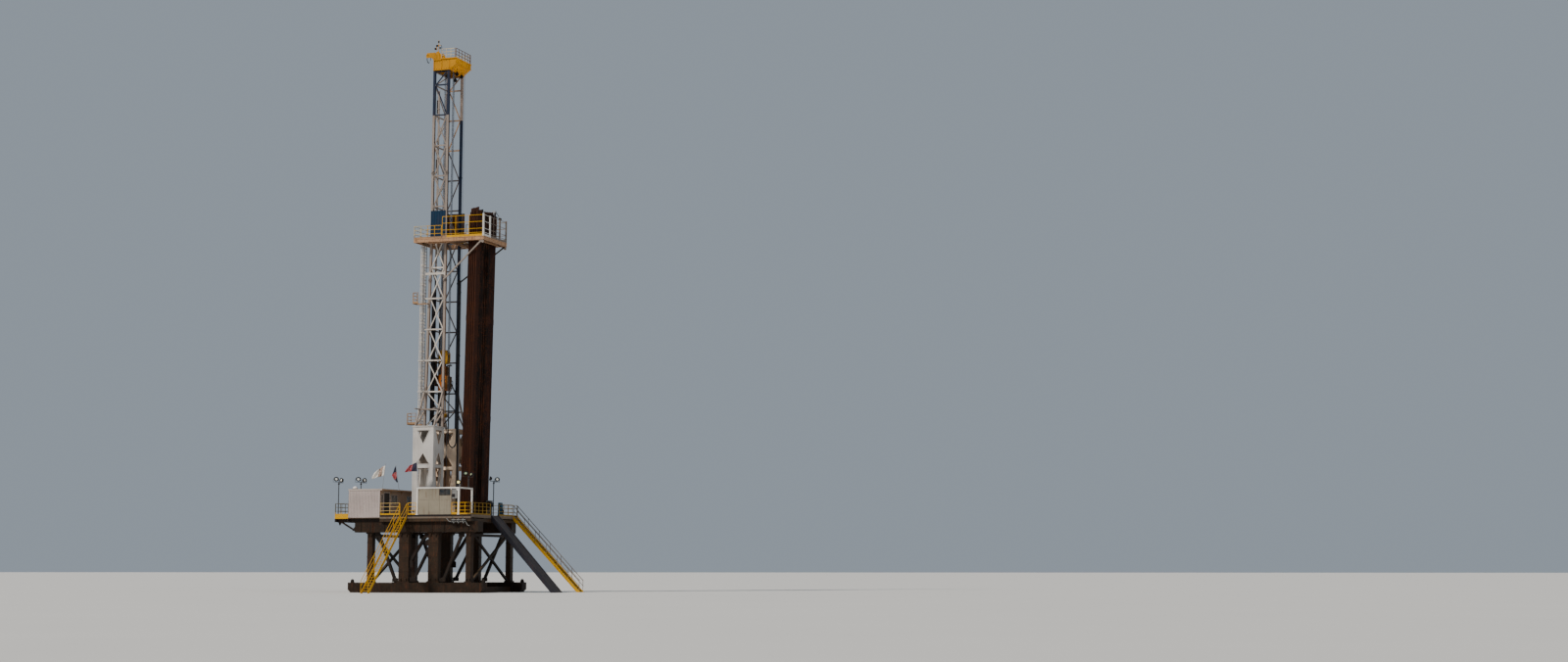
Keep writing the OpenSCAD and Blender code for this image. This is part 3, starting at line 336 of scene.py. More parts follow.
def steel(name, base, rust=1.0, dust=1.0, streaks=0.3, rough=0.42, metal=0.0, scale=1.0, bands=(),
          seams=None, bump=0.4):
    """Weathered painted steel. bands are (colour, (direction, from), ...) that repaint the places past
    every limit, or the faces turned that way where a limit ends in "faces". seams is (direction, pitch,
    width)."""
    tree, where = blank(name)
    facing = tree.nodes.new("ShaderNodeNewGeometry").outputs["True Normal"]
    coat = tint(base)
    for tone, *limits in bands:
        mask = None
        for direction, start, *faces in limits:
            past = use(tree, "Paint Band", Vector=facing if faces else where, Direction=direction,
                       From=start)["Past"]
            mask = past if mask is None else maths(tree, "MULTIPLY", mask, past)
        coat = mixed(tree, mask, coat, tint(tone))
    look = paint()
    worn = use(tree, "Weathering", Vector=where, Paint=coat, Rust=tuple(look.rust), Dust=tuple(look.dust),
               Rust_Amount=min(1.0, look.rust_amount * rust), Dust_Amount=min(1.0, look.dust_amount * dust),
               Streaks=streaks, Scale=scale)
    shown, height = worn["Color"], worn["Height"]
    if seams:
        groove = use(tree, "Plate Seams", Vector=where, Direction=seams[0], Pitch=seams[1],
                     Width=seams[2])["Seam"]
        shown = mixed(tree, maths(tree, "MULTIPLY", groove, 0.45), shown, (0.03, 0.025, 0.02, 1))
        height = maths(tree, "MULTIPLY_ADD", groove, -1.6, height)
    surface(tree, Base_Color=shown, Roughness=maths(tree, "ADD", worn["Roughness"], rough), Metallic=metal,
            Specular_IOR_Level=0.12, Normal=bumped(tree, bump, 0.0015, height))


def finishes():
    """Every finish of the rig, by name."""
    look = paint()
    near, far, near_face, ramp_face = (NEAR, 0.0), (Y, 0.0), (NEAR, 0.5, "faces"), (X, 0.5, "faces")
    navy_from, stair_nose = 4.455, 0.7 * 0.54 + 0.68 * 0.7 + 0.012
    steel("mast_cream", look.cream, streaks=0.35)
    steel("mast_leg_paint", look.cream, streaks=0.35, bands=[
        # Painted shade: the brown band, and the darker one above 3.28 m, darken the near legs' +X faces,
        # their shaded side.
        ((120, 92, 72), ramp_face, near), ((58, 50, 50), ramp_face, near, (Z, 3.28)),
        ((158, 140, 128), (Z, navy_from), far), (look.navy, (Z, navy_from), near),
        (look.navy, (X, 0.0), far, (DOWN, -navy_from)),
    ])
    steel("near_lattice_paint", (196, 188, 178), streaks=0.35, bands=[
        (look.cream, (Z, 3.24)), (look.navy, (Z, 4.452)),
    ])
    steel("far_lattice_paint", (70, 64, 64), streaks=0.4, bands=[(look.tan, (Z, 4.16))])
    steel("rail_black", (28, 29, 33), streaks=0.15, dust=0.6, bands=[(look.cream, (Z, 2.95))])
    steel("tan_paint", look.tan, streaks=0.4)
    steel("column_grey", look.grey, rust=0.6, streaks=0.3, bands=[
        # Painted light: the near-white bands lighten the columns' inner walls, which lie in shade, as if lit
        # through the cut-outs.
        ((240, 236, 228), near_face, (Y, -0.2)), ((240, 236, 228), ramp_face, (LEFT, 0.08)),
        # Painted light: the pale band brightens the far column's -Y faces, which lie in shade.
        (look.tan, ramp_face, far), ((250, 224, 196), near_face, far),
    ])
    steel("safety_yellow", look.yellow, rust=1.2, streaks=0.25)
    steel("stair_paint", look.yellow, rust=1.2, streaks=0.25, bands=[
        ((108, 98, 88), (X, 0.541), ((0.7, 0, 0.68), stair_nose)),
    ])
    steel("tread_paint", (104, 92, 78), rust=1.6, rough=0.5, bands=[(look.yellow, (NEAR, 0.5))])
    steel("rail_paint", look.yellow, rust=1.2, streaks=0.25, bands=[
        ((188, 158, 96), (LEFT, 0.18), (Z, 0.728)), ((92, 86, 66), (LEFT, 0.695), (Z, 0.728)),
        ((136, 104, 24), (X, 0.5)),
    ])
    # Painted light: the +X-facing faces, the skirt's sloping underside among them, take a brighter yellow to
    # offset their shade.
    steel("crown_yellow", look.crown, rust=0.8, streaks=0.35, dust=0.3, bands=[((226, 156, 0), ramp_face)])
    # Painted light: a brighter yellow for the skirt's main slope, to offset the shade under it.
    steel("crown_amber_painted_light", (236, 164, 0), rust=0.8, streaks=0.5, dust=0.3)
    steel("beam_brown", (22, 15, 10), rust=1.4, streaks=0.5, seams=(X, 0.24, 0.003))
    steel("leg_brown", look.brown, rust=1.4, streaks=0.5)
    steel("brace_black", look.dark, dust=0.7)
    # Painted shade: a tan paint darkened to the shade under the deck's edge.
    steel("edge_tan", (50, 40, 30), streaks=0.6, rust=1.4)
    steel("deck_edge_grey", (104, 92, 80), streaks=0.5)
    steel("deck_plate", (104, 92, 78), rust=1.6, seams=(X, 0.12, 0.002), rough=0.5)
    # Painted shade: the walls' +X faces and their ribs take a darker tan-brown for the shade on that side.
    steel("siding_paint", look.siding, rust=0.5, bands=[((150, 124, 100), ramp_face)])
    steel("roof_paint", (168, 156, 148), bands=[
        ((236, 230, 224), (Z, 0.9495), (LEFT, 0.612), (NEAR, 0.43)),
    ])
    steel("ramp_slate", look.ramp, rust=0.9, streaks=0.25, dust=0.5)
    steel("board_tan", look.board, streaks=0.8, rust=1.6)
    steel("board_under", (126, 98, 74), seams=(Y, 0.02, 0.003))
    steel("board_rail_paint", look.yellow, bands=[
        (look.white, (X, 0.4865)), ((118, 106, 96), (X, 0.4865), (Y, -0.09)),
        ((190, 170, 128), (LEFT, 0.092)), (look.tan, (LEFT, -0.12), (DOWN, -3.297)),
    ])
    steel("frame_white", look.white, rust=0.6, bands=[
        ((120, 110, 98), (X, 0.325), (LEFT, -0.37), (DOWN, -0.925), (NEAR, 0.4)),
    ])
    steel("wind_sheet", look.panel, rust=0.8, streaks=0.6, dust=1.3)
    steel("panel_pair", (0, 40, 66), streaks=0.15, dust=0.3, bands=[((74, 44, 22), far)])
    steel("black_pipe", (24, 25, 29), dust=0.5, streaks=0.2)
    steel("motor_orange", look.motor, rust=1.5, streaks=0.6)
    steel("block_yellow", (168, 122, 10), rust=1.6, streaks=0.7)
    steel("drive_ochre", (104, 70, 18), rust=1.6, streaks=0.7)
    steel("cage_white", (196, 188, 178), rust=0.8, streaks=0.4)
    steel("crown_rail_paint", (188, 172, 138), bands=[((104, 78, 60), (X, 0.126))])
    steel("brace_cream", look.cream, streaks=0.35, bands=[((44, 34, 30), far)])
    steel("oily_dark", (46, 38, 32), dust=0.4, streaks=0.4, rough=0.3, metal=0.4)
    steel("greasy_steel", (70, 72, 76), dust=0.2, streaks=0.2, rough=0.26, metal=0.85)
    steel("lamp_steel", (66, 68, 70), streaks=0.2, dust=0.4)
    steel("lamp_body", (30, 27, 29), streaks=0.2, dust=0.3)
    steel("galvanised", (150, 152, 154), rust=0.3, dust=0.4, rough=0.34, metal=0.6)
    steel("winch_blue", (28, 84, 110), rust=0.8)
    steel("cabinet_grey", (118, 118, 116), rust=0.5, streaks=0.4)
    steel("pipe_rust", look.pipe, rust=2.0, dust=0.3, streaks=0.8, rough=0.55, scale=0.8, bump=0.7, bands=[
        # Painted shade: the near-black bands fill the rows beside the alley between the two stands and the
        # far stand's -Y faces.
        ((28, 12, 12), ((-1, 0, 0.0157), -0.279)), ((2, 1, 1), (Y, -0.125)),
        ((58, 22, 16), (Y, 0.082)), ((2, 1, 1), far, (NEAR, 0.3, "faces")),
    ])
    window_glass("dusty_glass")
    lamp_glass("lamp_lens", (244, 242, 232), (220, 218, 204), 0.3)
    lamp_glass("lamp_dull", (176, 190, 150), (120, 130, 96), 0.2)
    lamp_glass("lamp_glow", (250, 236, 160), (255, 240, 150), 0.9)
    cord_cover("wire_rope", (150, 154, 162), (84, 84, 88), 6.0, 0.022, 0.8, 0.34)
    cord_cover("hose_rubber", (30, 31, 35), (15, 15, 17), 3.0, 0.009, 0.0, 0.5)


def window_glass(name):
    """Dark dusty glass."""
    tree, where = blank(name)
    film = remap(tree, noise(tree, where, 30.0, 4.0), 0.35, 0.75)
    surface(tree, Base_Color=mixed(tree, film, (0.012, 0.016, 0.02, 1), (0.07, 0.06, 0.05, 1)),
            Roughness=remap(tree, film, 0.0, 1.0, 0.06, 0.3))


def lamp_glass(name, front, light, power):
    """A ribbed lens that glows a little."""
    tree, where = blank(name)
    ribbed = use(tree, "Plate Seams", Vector=where, Direction=Z, Pitch=0.006, Width=0.002)["Seam"]
    front, light = linear(*front), linear(*light)
    surface(tree, Base_Color=mixed(tree, ribbed, front, tuple(0.6 * c for c in front)),
            Emission_Color=mixed(tree, ribbed, light, tuple(0.5 * c for c in light)),
            Emission_Strength=power, Roughness=0.18)


def cord_cover(name, crest, gap, strands, pitch, metal, rough):
    """The lay of a rope's strands or a hose's cover, along its UV map."""
    tree, _ = blank(name)
    course = node(tree, "ShaderNodeUVMap", uv_map="along").outputs[0]
    lay = use(tree, "Rope Lay", Vector=course, Strands=strands, Pitch=pitch)["Strand"]
    surface(tree, Base_Color=mixed(tree, lay, linear(*gap), linear(*crest)),
            Roughness=remap(tree, lay, 0.0, 1.0, rough + 0.2, rough), Metallic=metal,
            Normal=bumped(tree, 0.6, 0.0006, lay))


# Mesh building


def placed(name, data):
    """A new object in the scene."""
    made = bpy.data.objects.new(name, data)
    bpy.context.scene.collection.objects.link(made)
    return made


def taper(x, z0, half0, z1, half1):
    """An outline that narrows or widens evenly from one level to another."""
    return [(x - half0, z0), (x + half0, z0), (x + half1, z1), (x - half1, z1)]


def ring(radius, sides, turn=2 * math.pi):
    """Places on a circle, or from end to end of a part of one, about the origin."""
    return [(radius * math.cos(a), radius * math.sin(a))
            for a in (turn * i / sides for i in range(sides + (turn < 2 * math.pi)))]


def tube(path, radius, sides):
    """Points, side faces and end faces of a round bar along a path."""
    path = [Vector(p) for p in path]
    normal, points = None, []
    for i, p in enumerate(path):
        course = (path[min(i + 1, len(path) - 1)] - path[max(i - 1, 0)]).normalized()
        normal = course.orthogonal() if normal is None else normal - course * normal.dot(course)
        normal.normalize()
        other = course.cross(normal)
        points += [p + radius * (math.cos(2 * math.pi * k / sides) * normal
                                 + math.sin(2 * math.pi * k / sides) * other) for k in range(sides)]
    walls = [[i * sides + k, i * sides + j, (i + 1) * sides + j, (i + 1) * sides + k]
             for i in range(len(path) - 1) for k, j in ((k, (k + 1) % sides) for k in range(sides))]
    last = (len(path) - 1) * sides
    return points, walls, [list(range(sides - 1, -1, -1)), list(range(last, last + sides))]


class Shape:
    """Collects solids in millimetres, each with one of the piece's materials."""

    def __init__(self, place=None):
        self.points, self.faces, self.slots = [], [], []
        self.place = place or Matrix()

    def add(self, points, faces, slot=0):
        start = len(self.points)
        self.points += [tuple(self.place @ Vector(p)) for p in points]
        self.faces += [[start + i for i in face] for face in faces]
        self.slots += [slot] * len(faces)

    def take(self, other):
        """Adds another shape as it stands."""
        start = len(self.points)
        self.points += other.points
        self.faces += [[start + i for i in face] for face in other.faces]
        self.slots += other.slots

    def box(self, a, b, slot=0):
        """A box between any two opposite corners."""
        (x0, x1), (y0, y1), (z0, z1) = (sorted(pair) for pair in zip(a, b))
        self.add(
            [(x, y, z) for x in (x0, x1) for y in (y0, y1) for z in (z0, z1)],
            [(0, 1, 3, 2), (4, 6, 7, 5), (0, 4, 5, 1), (2, 3, 7, 6), (0, 2, 6, 4), (1, 5, 7, 3)], slot,
        )

    def prism(self, outline, a, b, axis=1, slot=0):
        """An outline in the other two axes, pushed between two levels of the axis."""
        def point(p, level):
            made = list(p)
            made.insert(axis, level)
            return made
        n = len(outline)
        self.add(
            [point(p, level) for level in sorted((a, b)) for p in outline],
            [list(range(n)), list(range(2 * n - 1, n - 1, -1))]
            + [[i, n + i, n + (i + 1) % n, (i + 1) % n] for i in range(n)], slot,
        )

    def bar(self, a, b, width, depth, slot=0):
        """A straight bar; its depth lies in the upright plane of the bar."""
        a, b = Vector(a), Vector(b)
        course = (b - a).normalized()
        side = course.cross(Vector(Z))
        side = side.normalized() if side.length > 1e-4 else Vector(Y)
        rise = side.cross(course)
        corners = [s * width / 2 * side + t * depth / 2 * rise
                   for s, t in ((-1, -1), (1, -1), (1, 1), (-1, 1))]
        self.add([a + c for c in corners] + [b + c for c in corners],
                 [(3, 2, 1, 0), (4, 5, 6, 7), (0, 1, 5, 4), (1, 2, 6, 5), (2, 3, 7, 6), (3, 0, 4, 7)], slot)

    def turned(self, profile, a, axis=Z, sides=16, slot=0):
        """A profile of (distance along the axis, radius) turned about it. A profile that starts and
        ends at radius 0 is closed there, and any other one is a ring that closes on itself."""
        axis = Vector(axis).normalized()
        side = axis.orthogonal().normalized()
        other = axis.cross(side)
        points, rings = [], []
        for level, radius in profile:
            if radius == 0:
                rings.append([len(points)] * sides)
                points.append(Vector(a) + axis * level)
            else:
                rings.append(list(range(len(points), len(points) + sides)))
                points += [Vector(a) + axis * level + p * side + q * other for p, q in ring(radius, sides)]
        faces = []
        closed = profile[0][1] == 0 and profile[-1][1] == 0
        for i in range(len(rings) - closed):
            lower, upper = rings[i], rings[(i + 1) % len(rings)]
            for k in range(sides):
                j = (k + 1) % sides
                face = list(dict.fromkeys([lower[k], lower[j], upper[j], upper[k]]))
                if len(face) > 2:
                    faces.append(face)
        self.add(points, faces, slot)

    def rod(self, a, b, radius, sides=12, slot=0):
        reach = (Vector(b) - Vector(a)).length
        self.turned([(0, 0), (0, radius), (reach, radius), (reach, 0)], a, Vector(b) - Vector(a), sides, slot)

    def swept(self, path, radius, sides=10, slot=0):
        """A round bar along a path."""
        points, walls, caps = tube(path, radius, sides)
        self.add(points, walls + caps, slot)

    def piece(self, name, materials, bevel=0.0, body="rig", slot="dark_steel", replaces=None):
        """The finished object, on its body, with an optional small bevel in millimetres."""
        mesh = bpy.data.meshes.new(name)
        mesh.from_pydata([[c * MM for c in p] for p in self.points], [], self.faces)
        made = placed(name, mesh)
        for material in materials:
            mesh.materials.append(MATERIALS[material])
        mesh.polygons.foreach_set("material_index", self.slots)
        facing_out(mesh)
        if bevel:
            edge = made.modifiers.new("edges", "BEVEL")
            edge.width, edge.segments, edge.limit_method = bevel * MM, 1, "ANGLE"
            edge.angle_limit = math.radians(50)
        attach(made, body)
        if replaces:
            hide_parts(replaces)


def facing_out(mesh):
    """Turns every closed shell outwards and shades its round parts smooth."""
    work = bmesh.new()
    work.from_mesh(mesh)
    bmesh.ops.recalc_face_normals(work, faces=work.faces)
    work.to_mesh(mesh)
    work.free()
    smooth(mesh, 38)


def smooth(mesh, sharp_from):
    mesh.polygons.foreach_set("use_smooth", [True] * len(mesh.polygons))
    mesh.set_sharp_from_angle(angle=math.radians(sharp_from))


# Repeated parts made with geometry nodes


def repeat_tree(name, hexagon):
    """Points to parts: a hexagon head along each point's facing, or a box of each point's size."""
    if name in GROUPS:
        return GROUPS[name]
    tree = bpy.data.node_groups.new(name, "GeometryNodeTree")
    tree.interface.new_socket("Points", in_out="INPUT", socket_type="NodeSocketGeometry")
    numbers = (("Radius", 0.0035), ("Height", 0.003)) if hexagon else (("Thickness Scale", 1.0),)
    for label, default in numbers:
        entry = tree.interface.new_socket(label, in_out="INPUT", socket_type="NodeSocketFloat")
        entry.default_value = default
    tree.interface.new_socket("Finish", in_out="INPUT", socket_type="NodeSocketMaterial")
    tree.interface.new_socket("Parts", in_out="OUTPUT", socket_type="NodeSocketGeometry")
    given = tree.nodes.new("NodeGroupInput").outputs
    out = tree.nodes.new("NodeGroupOutput").inputs
    own = node(tree, "GeometryNodeInputNamedAttribute", {"Name": "facing" if hexagon else "size"},
               data_type="FLOAT_VECTOR").outputs["Attribute"]
    if hexagon:
        part = node(tree, "GeometryNodeMeshCylinder",
                    {"Vertices": 6, "Radius": given["Radius"], "Depth": given["Height"]}, fill_type="NGON")
        turn = node(tree, "FunctionNodeAlignRotationToVector", {"Vector": own}, axis="Z").outputs[0]
        setting = {"Rotation": turn}
    else:
        part = node(tree, "GeometryNodeMeshCube", {"Size": (1, 1, 1)})
        scaled = node(tree, "ShaderNodeVectorMath", {0: own, "Scale": given["Thickness Scale"]},
                      operation="SCALE").outputs[0]
        setting = {"Scale": scaled}
    many = node(tree, "GeometryNodeInstanceOnPoints",
                {"Points": given["Points"], "Instance": part.outputs["Mesh"], **setting}).outputs[0]
    real = node(tree, "GeometryNodeRealizeInstances", {0: many}).outputs[0]
    painted = node(tree, "GeometryNodeSetMaterial", {"Geometry": real, "Material": given["Finish"]})
    feed(tree, out["Parts"], painted.outputs[0])
    GROUPS[name] = tree
    return tree


def repeated(name, tree, places, values, attribute, settings, finish, body):
    """Runs a tree on places in millimetres and keeps its result as a plain mesh."""
    cloud = bpy.data.meshes.new(name + "_points")
    cloud.from_pydata([[c * MM for c in p] for p in places], [], [])
    layer = cloud.attributes.new(attribute, "FLOAT_VECTOR", "POINT")
    layer.data.foreach_set("vector", [c for v in values for c in v])
    source = placed(name + "_source", cloud)
    modifier = source.modifiers.new("repeat", "NODES")
    modifier.node_group = tree
    settings = dict(settings, Finish=MATERIALS[finish])
    for item in tree.interface.items_tree:
        if item.in_out == "INPUT" and item.name in settings:
            modifier[item.identifier] = settings[item.name]
    ready = source.evaluated_get(bpy.context.evaluated_depsgraph_get())
    mesh = bpy.data.meshes.new_from_object(ready)
    mesh.name = name
    bpy.data.objects.remove(source)
    if len(mesh.polygons) == 0:
        raise RuntimeError(f"{name}: the repeated parts came out empty")
    made = placed(name, mesh)
    if not mesh.materials:
        mesh.materials.append(MATERIALS[finish])
    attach(made, body)


def bolts(name, heads, finish="galvanised", radius=None, height=3, body="rig"):
    """Hexagon heads at (place, facing), sized in millimetres."""
    radius = radius * MM if radius else sizes().bolt
    repeated(name, repeat_tree("Bolt Heads", True), [h[0] for h in heads], [h[1] for h in heads], "facing",
             {"Radius": radius, "Height": height * MM}, finish, body)


def ribs(name, boxes, finish):
    """Boxes at (centre, size) in millimetres."""
    repeated(name, repeat_tree("Ribs", False), [b[0] for b in boxes], [[c * MM for c in b[1]] for b in boxes],
             "size", {"Thickness Scale": 1.0}, finish, "rig")


def steps(low, high, pitch):
    """Evenly spaced places between two ends, near the pitch."""
    count = max(1, round((high - low) / pitch))
    return [low + (high - low) * i / count for i in range(count + 1)]


def splay(z):
    """How far the mast's rear legs stand out behind their line at a level."""
    return SPLAY * max(0, SPLAY_TOP - z) / (SPLAY_TOP - SPLAY_FOOT)


# Camera, cords and paint


class RIG_OT_camera(bpy.types.Operator):
    """Place the camera at the photograph's viewing angle"""

    bl_idname = "rig.camera"
    bl_label = "Camera"

    def execute(self, context):
        focal, width, horizon, middle = 2162, 1600, 582, 338
        lens = bpy.data.cameras.new("rig_camera")
        lens.sensor_width = 36
        lens.lens = 36 * focal / width
        camera = placed("rig_camera", lens)
        pitch = math.atan((horizon - middle) / focal)
        aim = Vector((-0.302 * math.cos(pitch), 0.953 * math.cos(pitch), math.sin(pitch)))
        camera.location = (8.973, -17.821, 0.204)
        camera.rotation_euler = aim.to_track_quat("-Z", "Y").to_euler()
        context.scene.camera = camera
        return {"FINISHED"}


def cord_tube(name, path, diameter, finish, sides=12):
    """A mesh tube along a path in metres, with a UV map of turns and metres."""
    points, walls, caps = tube(path, diameter / 2, sides)
    travelled = [0.0]
    for a, b in zip(path, path[1:]):
        travelled.append(travelled[-1] + (Vector(b) - Vector(a)).length)
    mesh = bpy.data.meshes.new(name)
    mesh.from_pydata(points, [], walls + caps)
    layer = mesh.uv_layers.new(name="along")
    for i, polygon in enumerate(mesh.polygons):
        for loop in polygon.loop_indices:
            section, k = divmod(mesh.loops[loop].vertex_index, sides)
            turn = 1.0 if i < len(walls) and k == 0 and i % sides == sides - 1 else k / sides
            layer.data[loop].uv = (turn, travelled[section])
    smooth(mesh, 60)
    mesh.materials.append(MATERIALS[finish])
    return placed(name, mesh)


class RIG_OT_cords(bpy.types.Operator):
    """Hang the rotary hose in its three stretches and string the drilling lines"""

    bl_idname = "rig.cords"
    bl_label = "Hose and drilling lines"

    def execute(self, context):
        width = sizes().hose
        x, y1, y0, bend, neck, end = 0.08, 0.108, -0.06, 1.42, 2.9, 2.093
        middle, reach, far_off = (y0 + y1) / 2, (y1 - y0) / 2, 1000
        down = [(x, y1, neck + (bend - neck) * i / 18) for i in range(19)]
        turn = [(x, middle + reach * math.cos(a), bend - reach * math.sin(a))
                for a in (math.pi * i / 24 for i in range(25))]
        up = [(x, y0, bend + (end - bend) * i / 15) for i in range(16)]
        for name, path, reach_length, start, finish in (
            ("hose_hanging", down, neck - bend, (0, 0, neck), (0, 0, 2 * bend - neck)),
            ("hose_bend", turn, math.pi * reach, (0, far_off + middle, 0), (0, middle - far_off, 0)),
            ("hose_rising", up, end - bend, (0, 0, 2 * bend - end), (0, 0, end)),
        ):
            made = cord_tube(name, path, width, "hose_rubber")
            if name == "hose_hanging":
                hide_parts("rotary_hose")
            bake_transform(made)
        low, high = ([v * MM for v in corner] for corner in span("drilling_lines"))
        radius, lanes, lengths = 0.0016, 5, 8
        strands = []
        for side in (low[0] + radius, high[0] - radius):
            for lane in range(lanes):
                across = low[1] + radius + (high[1] - low[1] - 2 * radius) * lane / (lanes - 1)
                path = [(side, across, low[2] + (high[2] - low[2]) * i / lengths) for i in range(lengths + 1)]
                strands.append(cord_tube("line", path, sizes().line, "wire_rope", 8))
        rope = joined(strands, "drilling_rope")
        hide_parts("drilling_lines")
        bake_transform(rope)
        return {"FINISHED"}


def joined(parts, name):
    """One object from several with the same maps."""
    with bpy.context.temp_override(active_object=parts[0], selected_editable_objects=parts, object=parts[0]):
        bpy.ops.object.join()
    parts[0].name = name
    parts[0].data.name = name
    return parts[0]


COATS = {
    "leg_brown": "base_spreaders substructure_legs",
    "beam_brown": "base_boxes box_beams",
    "brace_black": "substructure_braces platform_frame",
    "edge_tan": "floor_frame",
    "deck_plate": "floor_deck setback_mats doghouse_floor",
    "oily_dark": "rotary_table top_drive_dolly",
    "safety_yellow": "platform_deck",
    "siding_paint": "doghouse_side_walls doghouse_end_walls",
    "roof_paint": "doghouse_roof",
    "black_pipe": "doghouse_door standpipe rotary_hose",
    "dusty_glass": "doghouse_windows",
    "frame_white": "wind_wall_frame flags",
    "wind_sheet": "wind_wall_panel",
    "rail_paint": "floor_rails",
    "cabinet_grey": "control_cabinet",
    "tread_paint": "stair_treads",
    "stair_paint": "stair_sides",
    "ramp_slate": "pipe_ramp",
    "column_grey": "mast_columns",
    "tan_paint": "column_ties",
    "mast_cream": "mast_knees rear_lattice",
    "mast_leg_paint": "mast_legs",
    "near_lattice_paint": "near_lattice",
    "far_lattice_paint": "far_lattice",
    "panel_pair": "wind_panels",
    "rail_black": "guide_rails",
    "deck_edge_grey": "ladder",
    "cage_white": "ladder_cage",
    "board_rail_paint": "ladder_platforms board_rails",
    "board_tan": "board_frame",
    "board_under": "board_deck board_fingers",
    "brace_cream": "board_braces",
    "pipe_rust": "pipe_stands",
    "crown_yellow": "crown_frame crown_platform gin_arm",
    "crown_rail_paint": "crown_rails",
    "greasy_steel": "crown_sheaves",
    "lamp_steel": "light_poles",
    "galvanised": "flagpoles",
    "block_yellow": "travelling_block elevator",
    "motor_orange": "top_drive",
    "wire_rope": "drilling_lines",
}


class RIG_OT_paint(bpy.types.Operator):
    """Paint every CAD node"""

    bl_idname = "rig.paint"
    bl_label = "Paint"

    def execute(self, context):
        coats = {name: coat for coat, names in COATS.items() for name in names.split()}
        for name, part in NODES.items():
            part.data.materials.clear()
            part.data.materials.append(MATERIALS[coats[name]])
        return {"FINISHED"}


# Pieces


class RIG_OT_substructure(bpy.types.Operator):
    """Stiffeners, gussets, pins, lifting eyes and bolts of the legs and boxes"""

    bl_idname = "rig.substructure"
    bl_label = "Substructure"

    def execute(self, context):
        shape, heads = Shape(), []
        foot, head = 102, 533
        for side in SIDES:
            line, face, level = side * LEG_Y, side * 450, side * 434
            for x, w in ((-495, 49), (-150, 98), (146, 98), (495, 49)):
                for z in (190, 320, 450):
                    shape.box((x - w / 2 - 3, line - 33, z), (x + w / 2 + 3, line + 33, z + 5))
                for z, up in ((foot, 1), (head, -1)):
                    for ear in (x - w * 0.28, x + w * 0.28):
                        shape.prism(taper(ear, z, 9, z + up * 26, 6), face, face + side * 8)
                        pin = z + up * 17
                        shape.rod((ear, face, pin), (ear, face + side * 11, pin), 4, 12, 1)
                    heads += [((x + dx, line + dy, z + up * 1.5), (0, 0, up))
                              for dx in (-w / 2 - 6, w / 2 + 6) for dy in (-24, 0, 24)]
            for x, z, w, h in ((-92, 262, 60, 70), (76, 520, 56, 50), (-62, 122, 62, 44), (84, 452, 50, 60),
                               (-238, 118, 60, 40), (-420, 522, 60, 44), (236, 118, 60, 40),
                               (420, 522, 60, 44)):
                plate = [(x - w / 2, z - h / 2), (x + w / 2, z - h / 2), (x + w / 2, z + h / 4),
                         (x, z + h / 2), (x - w / 2, z + h / 4)]
                shape.prism(plate, level, level + side * 4, slot=1)
                heads += [((x + dx, level + side * 5, z + dz), (0, side, 0))
                          for dx in (-w / 4, w / 4) for dz in (-h / 4, h / 8)]
            for x in (-680, 630):
                eye = [(x - 20, 90), (x + 20, 90), (x + 13, 116), (x, 122), (x - 13, 116)]
                shape.prism(eye, line - 4, line + 4, slot=1)
            for x in steps(-600, 560, 145):
                shape.box((x, side * 470 - 2, 8), (x + 5, side * 470 + 3 * side + 2, 82))
        for x in (-520, -190, 190, 520):
            for y in (-366, 366):
                shape.box((x - 32, y - 5, 0), (x + 32, y + 5, 58), 1)
        shape.piece("leg_stiffeners", ["leg_brown", "brace_black"], 0.8)
        bolts("leg_bolts", heads, "oily_dark")
        struts = Shape()
        for y in (-460, 380):
            for x in (-810, -650):
                struts.box((x - 8, y - 9, 636), (x + 8, y + 9, 641))
            struts.prism([(-812, 641), (-780, 641), (-800, 610)], y - 8, y + 8)
            struts.prism([(-641, 600), (-641, 560), (-668, 560)], y - 8, y + 8)
        struts.piece("strut_plates", ["brace_black"], 0.6)
        return {"FINISHED"}


